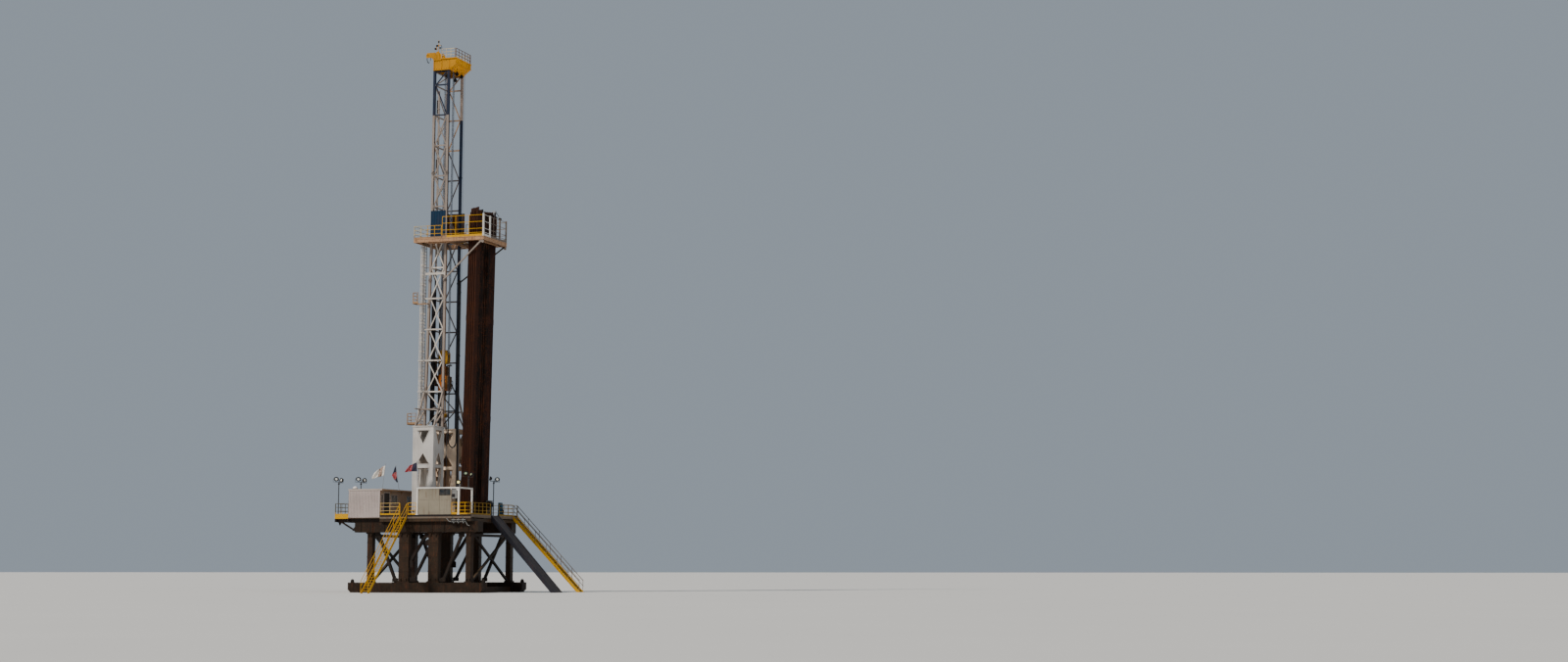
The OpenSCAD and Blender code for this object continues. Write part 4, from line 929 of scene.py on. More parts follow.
class RIG_OT_floor(bpy.types.Operator):
    """Deck edges, rotary bushing, pipework under the edge, winch, console and cabinet of the drill floor"""

    bl_idname = "rig.floor"
    bl_label = "Drill floor"

    def execute(self, context):
        low, high = span("floor_deck")
        edge, ramp_y = Shape(), 92
        for y, s in ((low[1], -1), (high[1], 1)):
            edge.box((low[0], y, 684), (high[0], y + s * 3, FLOOR + 2), 2)
            edge.box((low[0], y, 667), (high[0], y + s * 4, 684))
            edge.box((low[0], y, FLOOR), (high[0], y - s * 5, FLOOR + 2))
        edge.box((high[0], low[1], 686), (high[0] + 3, -ramp_y, FLOOR + 2))
        edge.box((high[0], ramp_y, 686), (high[0] + 3, 390, FLOOR + 2))
        edge.box((high[0] - 5, low[1], FLOOR), (high[0] + 3, -ramp_y, FLOOR + 2))
        for x in steps(low[0] + 40, high[0] - 40, 92):
            for y, s in ((low[1], -1), (high[1], 1)):
                edge.box((x - 3, y + s * 2, 641), (x + 3, y - s * 4, 686), 1)
        edge.piece("deck_edging", ["deck_edge_grey", "edge_tan", "lamp_body"], 0.6)
        table = Shape()
        bushing = [(700.5, 60), (709, 60), (709, 48), (707.5, 46), (707.5, 36), (700.5, 36)]
        table.turned(bushing, (0, 0, 0), Z, 48)
        for x, y in (ring(76, 8)[k] for k in (1, 3, 5, 7)):
            table.rod((x, y, 705.5), (x, y, 709), 5, 14, 1)
        table.piece("master_bushing", ["greasy_steel", "oily_dark"], 0.5)
        bolts("table_bolts", [((x, y, 707), Z) for x, y in ring(86, 24)], "greasy_steel", 2.4)
        self.pipework()
        self.winch(Shape(Matrix.Translation((498, 205, FLOOR))))
        self.console(Shape(Matrix.Translation((446, 92, FLOOR))))
        low, high = span("control_cabinet")
        cabinet = Shape(Matrix.Translation(low))
        width, height, front = high[0] - low[0], high[2] - low[2], 3
        cabinet.box((6, 2, 60), (30, front, height - 12), 1)
        cabinet.box((3, -0.4, 8), (width - 3, front, 52), 0)
        for z in (74, 84, 94):
            for x in (12, 22):
                cabinet.rod((x, 2, z), (x, -2, z), 2.4, 12, 2)
        cabinet.box((width - 11, -1.5, 26), (width - 8, front, 40), 2)
        cabinet.piece("cabinet_fittings", ["cabinet_grey", "black_pipe", "lamp_steel"], 0.5)
        return {"FINISHED"}

    def pipework(self):
        """Two pipes with flanges, valves and hangers under the near deck edge."""
        pipes = Shape()
        for z, y in ((652, -509), (636, -506)):
            pipes.rod((352, y, z), (492, y, z), 4.5, 14)
            for x in (352, 398, 446, 492):
                pipes.rod((x - 2.5, y, z), (x + 2.5, y, z), 8, 14, 1)
        for x in (375, 422, 470):
            pipes.rod((x, -508, 622), (x, -508, 664), 5, 14)
            pipes.rod((x, -517, 644), (x, -499, 644), 8, 16, 1)
        pipes.swept([(352, -506, 636), (326, -505, 640), (300, -504, 668)], 4)
        pipes.swept([(492, -506, 636), (511, -505, 604), (530, -504, 600)], 4)
        for x in (360, 460):
            pipes.box((x - 2, -506, 630), (x + 2, -498, 690), 1)
        pipes.piece("edge_pipework", ["cabinet_grey", "lamp_steel"])

    def winch(self, shape):
        """A small winch: frame, drum, rope, motor and lever."""
        shaft = (0, 0, 48)
        shape.box((-26, -22, 0), (26, 22, 6))
        for y in (-20, 15):
            shape.prism(taper(0, 6, 22, 66, 14), y, y + 5, slot=1)
        shape.turned([(-15, 0), (-15, 22), (-12, 22), (-12, 12), (12, 12), (12, 22), (15, 22), (15, 0)],
                     shaft, Y, 28, 2)
        shape.turned([(-12, 12.2), (-12, 16), (12, 16), (12, 12.2)], shaft, Y, 28, 3)
        shape.turned([(0, 0), (0, 16), (22, 16), (26, 11), (26, 0)], (0, 20, 48), Y, 20, 1)
        shape.box((-18, -17, 66), (18, 17, 108), 1)
        shape.prism([(-18, 108), (18, 108), (10, 126), (-18, 126)], -17, 17, slot=1)
        shape.rod((0, -20, 60), (0, -34, 84), 2.4, 10, 2)
        shape.rod((0, -34, 84), (0, -34, 98), 4, 12, 3)
        shape.piece("floor_winch", ["lamp_body", "winch_blue", "oily_dark", "wire_rope"], 0.8)

    def console(self, shape):
        """A desk on a braced post, with a dark screen and five knobs."""
        shape.box((-14, -20, 0), (14, 20, 3))
        shape.rod((0, 0, 3), (0, 0, 86), 6, 14, 1)
        shape.box((-16, -28, 84), (16, 28, 92))
        shape.prism([(-16, 92), (16, 92), (16, 118), (6, 134), (-16, 134)], -30, 30)
        shape.box((16, -24, 97), (17.5, 24, 115), 2)
        for y in range(-18, 19, 9):
            shape.rod((16, y, 88), (20, y, 88), 2, 10, 1)
        for side in SIDES:
            shape.bar((0, side * 16, 3), (0, side * 26, 84), 3, 3, 1)
            shape.bar((0, side * 16, 40), (0, side * -16, 62), 2.4, 2.4, 1)
        shape.piece("floor_console", ["lamp_body", "lamp_steel", "dusty_glass"], 0.6)


class RIG_OT_doghouse(bpy.types.Operator):
    """Siding, trims, roof seams, window and door frames of the doghouse"""

    bl_idname = "rig.doghouse"
    bl_label = "Doghouse"

    def execute(self, context):
        (x0, y0, z0), (x1, y1, z1) = span("doghouse_end_walls")
        doorway = y0 + 75, y0 + 180, z0, 905
        windows = [(y0 + a, y0 + b, 810, 885) for a, b in ((18, 55), (210, 330), (520, 640))]
        self.siding((x0, y0, z0), (x1, y1, z1), [doorway, *windows])
        trim = Shape()
        for x, sx in ((x0, -1), (x1, 1)):
            for y, sy in ((y0, -1), (y1, 1)):
                trim.box((x - sx * 7, y, z0), (x + sx * 2.6, y + sy * 2.6, z1))
                trim.box((x, y - sy * 7, z0), (x + sx * 2.6, y + sy * 2.6, z1))
        for y, s in ((y0, -1), (y1, 1)):
            trim.box((x0 - 3, y, z0), (x1 + 3, y + s * 3.4, z0 + 9), 1)
            trim.box((x0 - 3, y, z1 - 6), (x1 + 3, y + s * 3, z1))
        trim.box((x0 - 3.4, y0, z0), (x0, y1, z0 + 9), 1)
        trim.piece("wall_trims", ["siding_paint", "edge_tan"], 0.5)
        frames = Shape()
        for a, b, c, d in windows:
            for low, high in (((a - 5, c - 5), (b + 5, c)), ((a - 5, d), (b + 5, d + 5)),
                              ((a - 5, c), (a, d)), ((b, c), (b + 5, d))):
                frames.box((x1 - 2, *low), (x1 + 3, *high))
            if b - a > 60:
                middle = (a + b) / 2
                frames.box((x1 - 3, middle - 2, c), (x1 + 1.5, middle + 2, d))
            hood = [(x1 + 3, d + 5), (x1 + 12, d + 3), (x1 + 12, d + 5), (x1 + 3, d + 9)]
            frames.prism(hood, a - 6, b + 6)
        a, b, c, d = doorway
        for low, high in (((a - 6, FLOOR), (a, d + 6)), ((b, FLOOR), (b + 6, d + 6)), ((a, d), (b, d + 6))):
            frames.box((x1 - 2, *low), (x1 + 3.4, *high))
        frames.piece("window_frames", ["roof_paint"], 0.5)
        door = Shape()
        face = span("doghouse_door")[1][0]
        for low, high in (((a + 10, 716), (b - 10, 780)), ((a + 10, 792), (b - 10, 890))):
            door.box((face - 1, *low), (face + 1.6, *high))
        door.rod((face, b - 8, 792), (face + 5, b - 8, 792), 2, 10, 1)
        door.bar((face + 5, b - 8, 792), (face + 5, b - 22, 792), 3, 3, 1)
        for z in (730, 860):
            door.rod((face + 1, a + 3, z - 6), (face + 1, a + 3, z + 6), 2.2, 10, 1)
        door.piece("door_fittings", ["black_pipe", "galvanised"], 0.5)
        low, high = span("doghouse_roof")
        top = z1 + 10
        seams = [(((low[0] + high[0]) / 2, y, top + 1.2), (high[0] - low[0] - 8, 2.4, 2.4))
                 for y in steps(low[1] + 90, high[1] - 20, sizes().seam_pitch / MM)]
        ribs("roof_seams", seams, "roof_paint")
        roof = Shape()
        foot, head = top - 13, top + 2
        roof.box((low[0] - 1, low[1] - 1, foot), (high[0] + 1, low[1] + 2, head))
        roof.box((low[0] - 1, high[1] - 2, foot), (high[0] + 1, high[1] + 1, head))
        roof.box((high[0] - 2, low[1] + 2, foot), (high[0] + 1, high[1] - 2, head), 1)
        roof.box((low[0] - 1, low[1] + 2, foot), (low[0] + 2, high[1] - 2, head))
        for y in (-300, -90, 120, 330):
            roof.prism([(x1, top - 12), (high[0] - 2, top - 12), (x1, top - 40)], y - 2, y + 2, slot=1)
        vent = [(-10, 29), (0, 30), (4, 29), (6, 24), (-10, 22)]
        roof.turned(vent, (x0 + 45, y0 + 33, top), Z, 32, 2)
        roof.piece("roof_edging", ["roof_paint", "tan_paint", "lamp_body"], 0.5)
        return {"FINISHED"}

    def siding(self, low, high, openings):
        """Upright ribs on all four walls, cut round the doorway and windows."""
        (x0, y0, z0), (x1, y1, z1) = low, high
        pitch, deep = sizes().siding_pitch / MM, 1.8
        middle, tall, clear = (z0 + z1) / 2 + 6, z1 - z0 - 20, 8
        rows = []
        for y in (y0 - deep / 2, y1 + deep / 2):
            rows += [((x, y, middle), (pitch * 0.5, deep, tall)) for x in steps(x0 + 10, x1 - 10, pitch)]
        for y in steps(y0 + 10, y1 - 10, pitch):
            rows.append(((x0 - deep / 2, y, middle), (deep, pitch * 0.5, tall)))
            spans = [(z0 + 16, z1 - 4)]
            for a, b, c, d in openings:
                if a - clear < y < b + clear:
                    spans = [part for p, q in spans for part in ((p, min(q, c - 6)), (max(p, d + 6), q))
                             if part[1] - part[0] > clear]
            rows += [((x1 + deep / 2, y, (p + q) / 2), (deep, pitch * 0.5, q - p)) for p, q in spans]
        ribs("siding_ribs", rows, "siding_paint")


class RIG_OT_wind_wall(bpy.types.Operator):
    """Sheet joints, window, inner sheet and base plates of the wind wall"""

    bl_idname = "rig.wind_wall"
    bl_label = "Wind wall"

    def execute(self, context):
        low, high = span("wind_wall_panel")
        shape, y = Shape(), low[1]
        for x in (low[0] + 3, low[0] + 110, low[0] + 215, high[0] - 3):
            shape.box((x - 3, y - 1.6, low[2] + 2), (x + 3, y, high[2] - 2))
        for z in (low[2] + 4, (low[2] + high[2]) / 2 + 20, high[2] - 4):
            shape.box((low[0], y - 1.4, z - 3), (high[0], y, z + 3))
        x0, x1, z0, z1 = low[0] + 218, low[0] + 321, high[2] - 56, high[2] - 8
        middle = (x0 + x1) / 2
        for (xa, za), (xb, zb) in (((x0 - 4, z0 - 4), (x1 + 4, z0)), ((x0 - 4, z1), (x1 + 4, z1 + 4)),
                                   ((x0 - 4, z0), (x0, z1)), ((x1, z0), (x1 + 4, z1)),
                                   ((middle - 1.5, z0), (middle + 1.5, z1))):
            shape.box((xa, y - 2.6, za), (xb, y + 1.5, zb), 1)
        shape.box((x0, y + 0.2, z0), (x1, y + 0.8, z1), 2)
        inner, sill = high[0] + 62, 846
        shape.box((high[0], y + 4, sill), (inner, y + 6, high[2] - 2), 3)
        for z in range(sill, sill + 69, 34):
            shape.box((high[0], y + 2.6, z), (inner, y + 4, z + 5), 3)
        shape.box((high[0] + 12, y + 1, 858), (high[0] + 38, y + 4, 886), 1)
        shape.piece("panel_joints", ["wind_sheet", "lamp_body", "dusty_glass", "cabinet_grey"], 0.4)
        low, high = span("wind_wall_frame")
        plates, heads, half = Shape(), [], 6.5
        for x, y, near in ((low[0] + half, low[1] + half, 11), (high[0] - half, low[1] + half, 11),
                           (high[0] - half, high[1] - half, 13)):
            plates.box((x - 13, y - near, FLOOR), (x + 13, y + 13, FLOOR + 4))
            heads += [((x + dx, y + dy, FLOOR + 5), Z) for dx in (-9.5, 9.5) for dy in (-8, 9.5)]
            for s in SIDES:
                plates.prism([(x + s * half, 704), (x + s * 12, 704), (x + s * half, 722)], y - 1.5, y + 1.5)
        for x, s in ((low[0] + 13, 1), (high[0] - 13, -1)):
            corner = [(x, high[2] - 13), (x + s * 26, high[2] - 13), (x, high[2] - 39)]
            plates.prism(corner, low[1] + 4, low[1] + 8)
        plates.piece("frame_plates", ["frame_white"], 0.5)
        bolts("frame_bolts", heads, radius=2.2)
        return {"FINISHED"}


class RIG_OT_columns(bpy.types.Operator):
    """Flanges, stiffeners, cut-out rims, pin plates and bolts of the plated columns"""

    bl_idname = "rig.columns"
    bl_label = "Lower columns"

    def execute(self, context):
        low, high = span("mast_columns")
        x0, x1, top = low[0], high[0], high[2]
        inner, outer, foot = 129, high[1], FLOOR + 10
        levels = [top - d for d in (40, 165, 248, 350, 385, 560)]
        shape, heads = Shape(), []

        def rims(m, w):
            """The edges of one face's three cut-outs, as pairs of places."""
            a, b, c, d, e, f = levels
            for rim in ([(m - w, a), (m + w, a), (m, b)], [(m, c), (m + w, d), (m - w, d)],
                        taper(m, e, w, f, w * 0.6)):
                yield from zip(rim, rim[1:] + rim[:1])

        for side in SIDES:
            for face, way in ((side * outer, side), (side * inner, -side)):
                for p, q in rims((x0 + x1) / 2, (x1 - x0) * 0.31):
                    shape.bar((p[0], face + way, p[1]), (q[0], face + way, q[1]), 4, 4, int(way * side < 0))
            for face, way in ((x0, -1), (x1, 1)):
                for p, q in rims(side * (inner + outer) / 2, (outer - inner - 40) * 0.31):
                    shape.bar((face + way, *p), (face + way, *q), 4, 4, int(way > 0))
            ys = sorted((side * inner, side * outer))
            shape.box((x0 - 7, ys[0] - 7, top - 8), (x1 + 7, ys[1] + 7, top))
            shape.box((x0 - 9, ys[0] - 9, FLOOR), (x1 + 9, ys[1] + 9, foot))
            for level in (top - 206, top - 368, top - 600):
                shape.box((x0 + 4, ys[0] + 4, level - 2), (x1 - 4, ys[1] - 4, level + 2), 1)
            for x, sx in ((x0, -1), (x1, 1)):
                for y, sy in zip(ys, SIDES):
                    shape.box((x, y, foot), (x - sx * 11, y + sy * 2, top - 8))
                    shape.box((x, y, foot), (x + sx * 2, y - sy * 11, top - 8))
            for x in steps(x0 - 4, x1 + 4, 43):
                heads += [((x, y + sy * 4.5, foot + 1.5), Z) for y, sy in zip(ys, SIDES)]
                heads += [((x, y + sy * 3, top - 9.5), DOWN) for y, sy in zip(ys, SIDES)]
            face = side * outer
            for x in (x0 + 20, x1 - 20):
                plate = [(x - 20, foot), (x + 20, foot), (x + 15, 752), (x, 762), (x - 15, 752)]
                shape.prism(plate, face + side * 2, face + side * 8)
                shape.turned([(0, 0), (0, 9), (6, 9), (6, 5), (10, 5), (10, 0)], (x, face + side * 8, 740),
                             (0, side, 0), 20, 2)
        shape.piece("column_stiffeners", ["column_grey", "tan_paint", "greasy_steel"], 0.5)
        bolts("column_bolts", heads, radius=2.8)
        ramp_face = span("column_ties")[1][0]
        ties = Shape()
        for level in (1030, 1428):
            for side in SIDES:
                gusset = [(side * inner, level - 14), (side * 100, level), (side * 100, level + 40),
                          (side * inner, level + 54)]
                ties.prism(gusset, ramp_face - 3, ramp_face + 2, axis=0)
        ties.prism(taper(0, 1249 - 22, 22, 1249 + 22, 22), -96, -93, axis=0)
        ties.piece("tie_gussets", ["tan_paint"], 0.5)
        return {"FINISHED"}


class RIG_OT_mast(bpy.types.Operator):
    """Gussets, splice collars, girts, counterweights, winch lines, rail clips and panel ribs of the mast"""

    bl_idname = "rig.mast"
    bl_label = "Mast"

    def execute(self, context):
        size = sizes().gusset / MM / 2
        near, far, heads = Shape(), Shape(), []
        for k in range(11):
            z = FIRST_BAY + BAY * k
            rear, front = -73 - splay(z), 50
            for x, s in ((rear, 1), (front, -1)):
                wide, low = x + s * size * 0.7, size * 0.45
                plate = [(x - s * 5, z - size), (wide, z - low), (wide, z + low), (x - s * 5, z + size)]
                near.prism(plate, -148, -144)
                far.prism(plate, 144, 148)
                heads += [((x + s * size * 0.3, -149, z + d), NEAR) for d in (-6, 6)]
            if k < 9:
                m, c = (rear + front) / 2 - 1, z + BAY / 2
                near.prism([(m - 11, c), (m, c - 13), (m + 11, c), (m, c + 13)], -147, -144)
        near.piece("near_gussets", ["near_lattice_paint"], 0.4)
        far.piece("far_gussets", ["far_lattice_paint"], 0.4)
        bolts("gusset_bolts", heads, radius=2.2)
        self.splices()
        self.girts()
        weights = Shape()
        for low, high in ((4490, 4620), (3920, 4052)):
            weights.box((-95, -70, low), (-86, -62, high))
            weights.rod((-92, -66, low - 12), (-92, -66, low), 1.5, 8)
            weights.rod((-92, -66, high), (-92, -66, high + 40), 1.2, 8)
        weights.piece("counterweights", ["black_pipe"], 0.6)
        lines = Shape()
        for y, x in ((118, 94), (126, 98), (-118, 94)):
            lines.rod((x, y, FLOOR + 14), (x, y, 4962), 1.1, 6)
            lines.turned([(0, 0), (0, 4), (10, 4), (14, 1.2), (14, 0)], (x, y, FLOOR), Z, 12, 1)
        lines.piece("hoist_lines", ["wire_rope", "greasy_steel"])
        rails = Shape()
        for z in range(1240, 4700, 470):
            for side in SIDES:
                rails.box((-83, side * 70 - 9, z), (-62, side * 70 + 9, z + 7))
        for side in SIDES:
            rails.box((-98, side * 78, 1570), (-68, side * 84, 2790))
            rails.box((-102, side * 72, 1570), (-98, side * 84, 2790))
        rails.piece("rail_joints", ["rail_black"], 0.5)
        low, high = span("wind_panels")
        corrugations = []
        for y, top, end in ((low[1] - 0.9, low[2] + 273, 59), (high[1] + 0.9, high[2], high[0])):
            corrugations += [((x, y, (low[2] + top) / 2), (5, 1.8, top - low[2] - 6))
                             for x in steps(low[0] + 8, end - 8, 26)]
        ribs("panel_ribs", corrugations, "panel_pair")
        return {"FINISHED"}

    def splices(self):
        """Two collars, two side straps and two pins round each leg at three levels."""
        shape = Shape()
        for z in (FIRST_BAY, 2863, 3878):
            for y in (-MAST_Y, MAST_Y):
                for x in (MAST_X[1], MAST_X[0] - splay(z)):
                    for low in (z + 20, z + 27):
                        shape.box((x - 14, y - 14, low), (x + 14, y + 14, low + 5))
                    for side in (y - 12.5, y + 12.5):
                        shape.box((x - 9, side - 1.5, z + 6), (x + 9, side + 1.5, z + 46))
                    for pin in (z + 14, z + 38):
                        shape.rod((x, y - 17, pin), (x, y + 17, pin), 3, 10, 1)
        shape.piece("leg_splices", ["mast_leg_paint", "greasy_steel"], 0.5)

    def girts(self):
        """Angles between the ladder and the near legs, and brackets that pass outside its cage."""
        shape = Shape()
        for z, end, tall in ((FIRST_BAY, -95, 8), (2138, 40, 12), (2428, 40, 10), (2718, 40, 12),
                             (2952, 64, 20)):
            shape.box((-143, -154, z - tall / 2), (end, -150, z + tall / 2))
            shape.box((-143, -156, z + tall / 2 - 2), (end, -150, z + tall / 2 + 1))
        for z in (FIRST_BAY, 2138):
            shape.box((-188, -173, z - 4), (-129, -169, z + 4))
            shape.box((-133, -173, z - 4), (-129, -150, z + 4))
        for x in (-95, -20, 58):
            shape.box((x - 7, -152, 2934), (x + 7, -148, 2970))
        shape.piece("ladder_girts", ["cage_white"], 0.4)


class RIG_OT_ladder(bpy.types.Operator):
    """Cage straps and hoops, ladder bolts and the rest platforms' gratings"""

    bl_idname = "rig.ladder"
    bl_label = "Ladder"

    def execute(self, context):
        low, high = span("ladder_cage")
        cage = Shape()

        def place(degrees):
            a = math.radians(180 + degrees)
            return -163.8 + 27 * math.cos(a), -MAST_Y + 27 * math.sin(a)

        for degrees in (-95, -50, 0, 50, 95):
            cage.bar((*place(degrees), low[2]), (*place(degrees), high[2]), 4.2, 4.2)
        for z in steps(low[2] + 2, high[2] - 2, 58):
            hoop = [(*place(degrees), z) for degrees in range(-110, 111, 20)]
            for a, b in zip(hoop, hoop[1:]):
                cage.bar(a, b, 2, 4)
        cage.piece("cage_straps", ["cage_white"])
        low, high = span("ladder")
        heads = [((-147.5, y, z), LEFT) for y in (-162, -118) for z in steps(low[2] + 100, high[2] - 60, BAY)]
        bolts("ladder_bolts", heads, radius=2)
        gratings = [((x, -MAST_Y, z - 6.5), (2.4, 78, 4))
                    for z, x0 in ((1550, -285), (2678, -250)) for x in steps(x0 + 4, -198, 8)]
        ribs("rest_gratings", gratings, "board_under")
        return {"FINISHED"}


class RIG_OT_board(bpy.types.Operator):
    """Joists, flanges, finger latches and the jib of the racking board"""

    bl_idname = "rig.board"
    bl_label = "Racking board"

    def execute(self, context):
        low, high = span("board_frame")
        pitch, level = sizes().joist_pitch / MM, high[2] - 12
        joists = [((x, side * 231, level), (3, 32, 18))
                  for x in steps(low[0] + 20, high[0] - 16, pitch) for side in SIDES]
        for y in steps(-200, 200, pitch):
            joists.append(((461, y, level), (56, 3, 18)))
            if abs(y) > 182 or abs(y) < 96:
                joists.append(((-160, y, level), (96, 3, 18)))
        ribs("board_joists", joists, "board_under")
        shape, half = Shape(), 250
        for z0, z1 in ((high[2] - 2, high[2] + 5), (low[2], low[2] + 5)):
            for side in SIDES:
                shape.box((low[0], side * half, z0), (high[0], side * (half + 3), z1))
            shape.box((high[0], -half, z0), (high[0] + 3, half, z1))
        for side in SIDES:
            for x in steps(low[0] + 30, high[0] - 30, 80):
                shape.box((x - 2, side * half, low[2] + 5), (x + 2, side * (half + 2.4), high[2] - 2))
            shape.prism([(448, 3236), (498, 3236), (498, 3210), (488, 3204)], side * 240, side * 247, slot=1)
            shape.rod((62, side * 156, 2898), (62, side * 170, 2898), 9, 18, 1)
        for y in steps(-220, 220, 88):
            shape.box((high[0], y - 2, low[2] + 5), (high[0] + 2.4, y + 2, high[2] - 2))
        shape.piece("board_flanges", ["board_tan", "mast_cream"], 0.5)
        latches, top = Shape(), span("board_fingers")[1][2]
        last_finger, pitch, first_finger = 414.5, 19, 116
        for k in range(int((last_finger - first_finger) / pitch) + 1):
            x = last_finger - pitch * k
            for side in SIDES:
                latches.box((x - 4, side * 47 - 4, top), (x + 4, side * 47 + 4, top + 5))
        latches.piece("finger_latches", ["safety_yellow"], 0.5)
        jib = Shape()
        jib.bar((292, 196, 3574), (452, 196, 3498), 9, 11)
        jib.bar((330, 206, 3532), (404, 206, 3566), 5, 6)
        jib.bar((404, 206, 3566), (452, 206, 3500), 5, 6)
        jib.box((378, 182, 3548), (410, 208, 3576))
        jib.rod((452, 186, 3496), (452, 212, 3496), 11, 18, 1)
        jib.bar((452, 198, 3490), (452, 198, 3420), 3, 3, 1)
        jib.bar((292, 196, 3574), (292, 196, 3552), 12, 12, 1)
        jib.piece("board_jib", ["galvanised", "lamp_body"], 0.6)
        return {"FINISHED"}


def grooved_sheave(shape, centre, radius, width, slot=0):
    """A wire rope sheave about the Y axis: rim with a groove, dished web and hub."""
    half = [(1, 1), (1, 0.82), (0.3, 0.76), (0.3, 0.34), (1, 0.3), (1, 0.12)]
    outline = [(-0.45, 0.93), (0.45, 0.93), *half, *((-w, r) for w, r in reversed(half))]
    shape.turned([(w * width / 2, r * radius) for w, r in outline], centre, Y, 40, slot)


class RIG_OT_crown(bpy.types.Operator):
    """Grooved sheaves, flanges, snatch blocks, hook and beacon of the crown"""

    bl_idname = "rig.crown"
    bl_label = "Crown"

    def execute(self, context):
        z = CROWN_SHAFT
        wheels = Shape()
        for lane in range(-2, 3):
            grooved_sheave(wheels, (0, lane * 9, z), 40, 7)
        wheels.rod((0, -37, z), (0, 37, z), 9, 28, 1)
        for s in SIDES:
            wheels.rod((0, s * 37, z), (0, s * 42, z), 14, 28, 1)
        wheels.piece("crown_wheels", ["greasy_steel", "oily_dark"], slot="sheave_steel",
                     replaces="crown_sheaves")
        self.flanges()
        blocks = Shape()
        for x, y, z, hung_from in ((8, -60, 4846, 4890), (58, 0, 4816, 4890), (92, 62, 4862, 4990),
                                   (100, -50, 4862, 4990)):
            grooved_sheave(blocks, (x, y, z), 17, 6)
            for s in SIDES:
                blocks.prism(taper(x, z - 12, 8, z + 22, 6), y + s * 4, y + s * 6.5, slot=1)
            blocks.rod((x, y, z + 20), (x, y, hung_from), 2.4, 8, 1)
        blocks.piece("snatch_blocks", ["black_pipe", "black_pipe"])
        hook, y = Shape(), -142
        hook.swept([(-165, y, 5044), (-169, y, 5024), (-167, y, 4996), (-160, y, 4972), (-151, y, 4966),
                    (-145, y, 4976)], 3.4)
        hook.swept([(-128, y, 5018), (-131, y, 5000), (-136, y, 4986)], 2.4, 8)
        hook.box((-174, y - 8, 5040), (-156, y + 8, 5049), 1)
        hook.piece("jib_hook", ["lamp_body", "crown_yellow"], 0.6)
        beacon, y = Shape(), -130
        beacon.turned([(0, 0), (0, 6), (6, 8), (12, 8), (17, 5), (20, 0)], (-55, y, 5158), Z, 18)
        beacon.box((-80, y - 6, 5122), (-62, y + 6, 5138))
        beacon.box((-46, y - 6, 5098), (-36, y + 6, 5116), 1)
        beacon.turned([(0, 0), (0, 8), (18, 10), (20, 0)], (-78, y, 5096), (-0.8, 0, 0.5))
        beacon.swept([(-30, y, 5134), (-24, y, 5118), (-22, y, 5060), (-22, y, 4996)], 2.6, 8)
        beacon.piece("crown_beacon", ["lamp_body", "lamp_steel"], 0.5)
        return {"FINISHED"}

    def flanges(self):
        """Stiffeners and flanges of the frame, and the platform's edge, skirt and guard posts."""
        low, high = span("crown_frame")
        shape, heads = Shape(), []
        x0, x1 = low[0], 78
        for y, s in ((low[1], -1), (high[1], 1)):
            for x in steps(x0 + 6, x1 - 6, 80):
                shape.box((x - 2, y, 4894), (x + 2, y + s * 4, 4980))
            shape.box((x0, y, 4886), (x1, y + s * 6, 4893))
            shape.box((x0, y, 4982), (x1 - 90, y + s * 6, 4990))
            heads += [((x, y + s * 4.5, z), (0, s, 0))
                      for x in steps(x0 + 12, x1 - 12, 26) for z in (4899, 4976)]
        for y in steps(low[1] + 10, high[1] - 10, 40):
            shape.box((x0 - 4, y - 2, 4894), (x0, y + 2, 4982))
        edge, side = span("crown_platform")[1][:2]
        for y in steps(-side + 8, side - 8, 40):
            shape.box((edge, y - 2, 4946), (edge + 3, y + 2, 4988))
        shape.box((edge, -side, 4940), (edge + 5, side, 4945))
        ribs_at = [(y, 3, 4, 0) for y in (-118, -85, -28, 0, 28, 85, 118)]
        # The skirt's main slope takes the brighter amber, painted light against the shade under it.
        for y, wide, drop, slot in [(0, side - 1, 0, 1), *ribs_at]:
            skirt = [(x1, 4896 - drop), (edge - 6, 4942 - drop), (edge - 6, 4945), (x1, 4899)]
            shape.prism(skirt, y - wide, y + wide, slot=slot)
        shape.box((edge, -side, 4990), (edge + 4, side, 5000))
        for s in SIDES:
            shape.box((-12, s * side, 4990), (edge + 4, s * (side + 4), 5000))
        for x, top in ((-64, 5040), (-38, 5064), (-8, 5036), (14, 5028)):
            shape.box((x - 2, -153, 4996), (x + 2, -150, top))
        shape.piece("crown_flanges", ["crown_yellow", "crown_amber_painted_light"], 0.5)
        bolts("crown_bolts", heads, "oily_dark", 2.4)


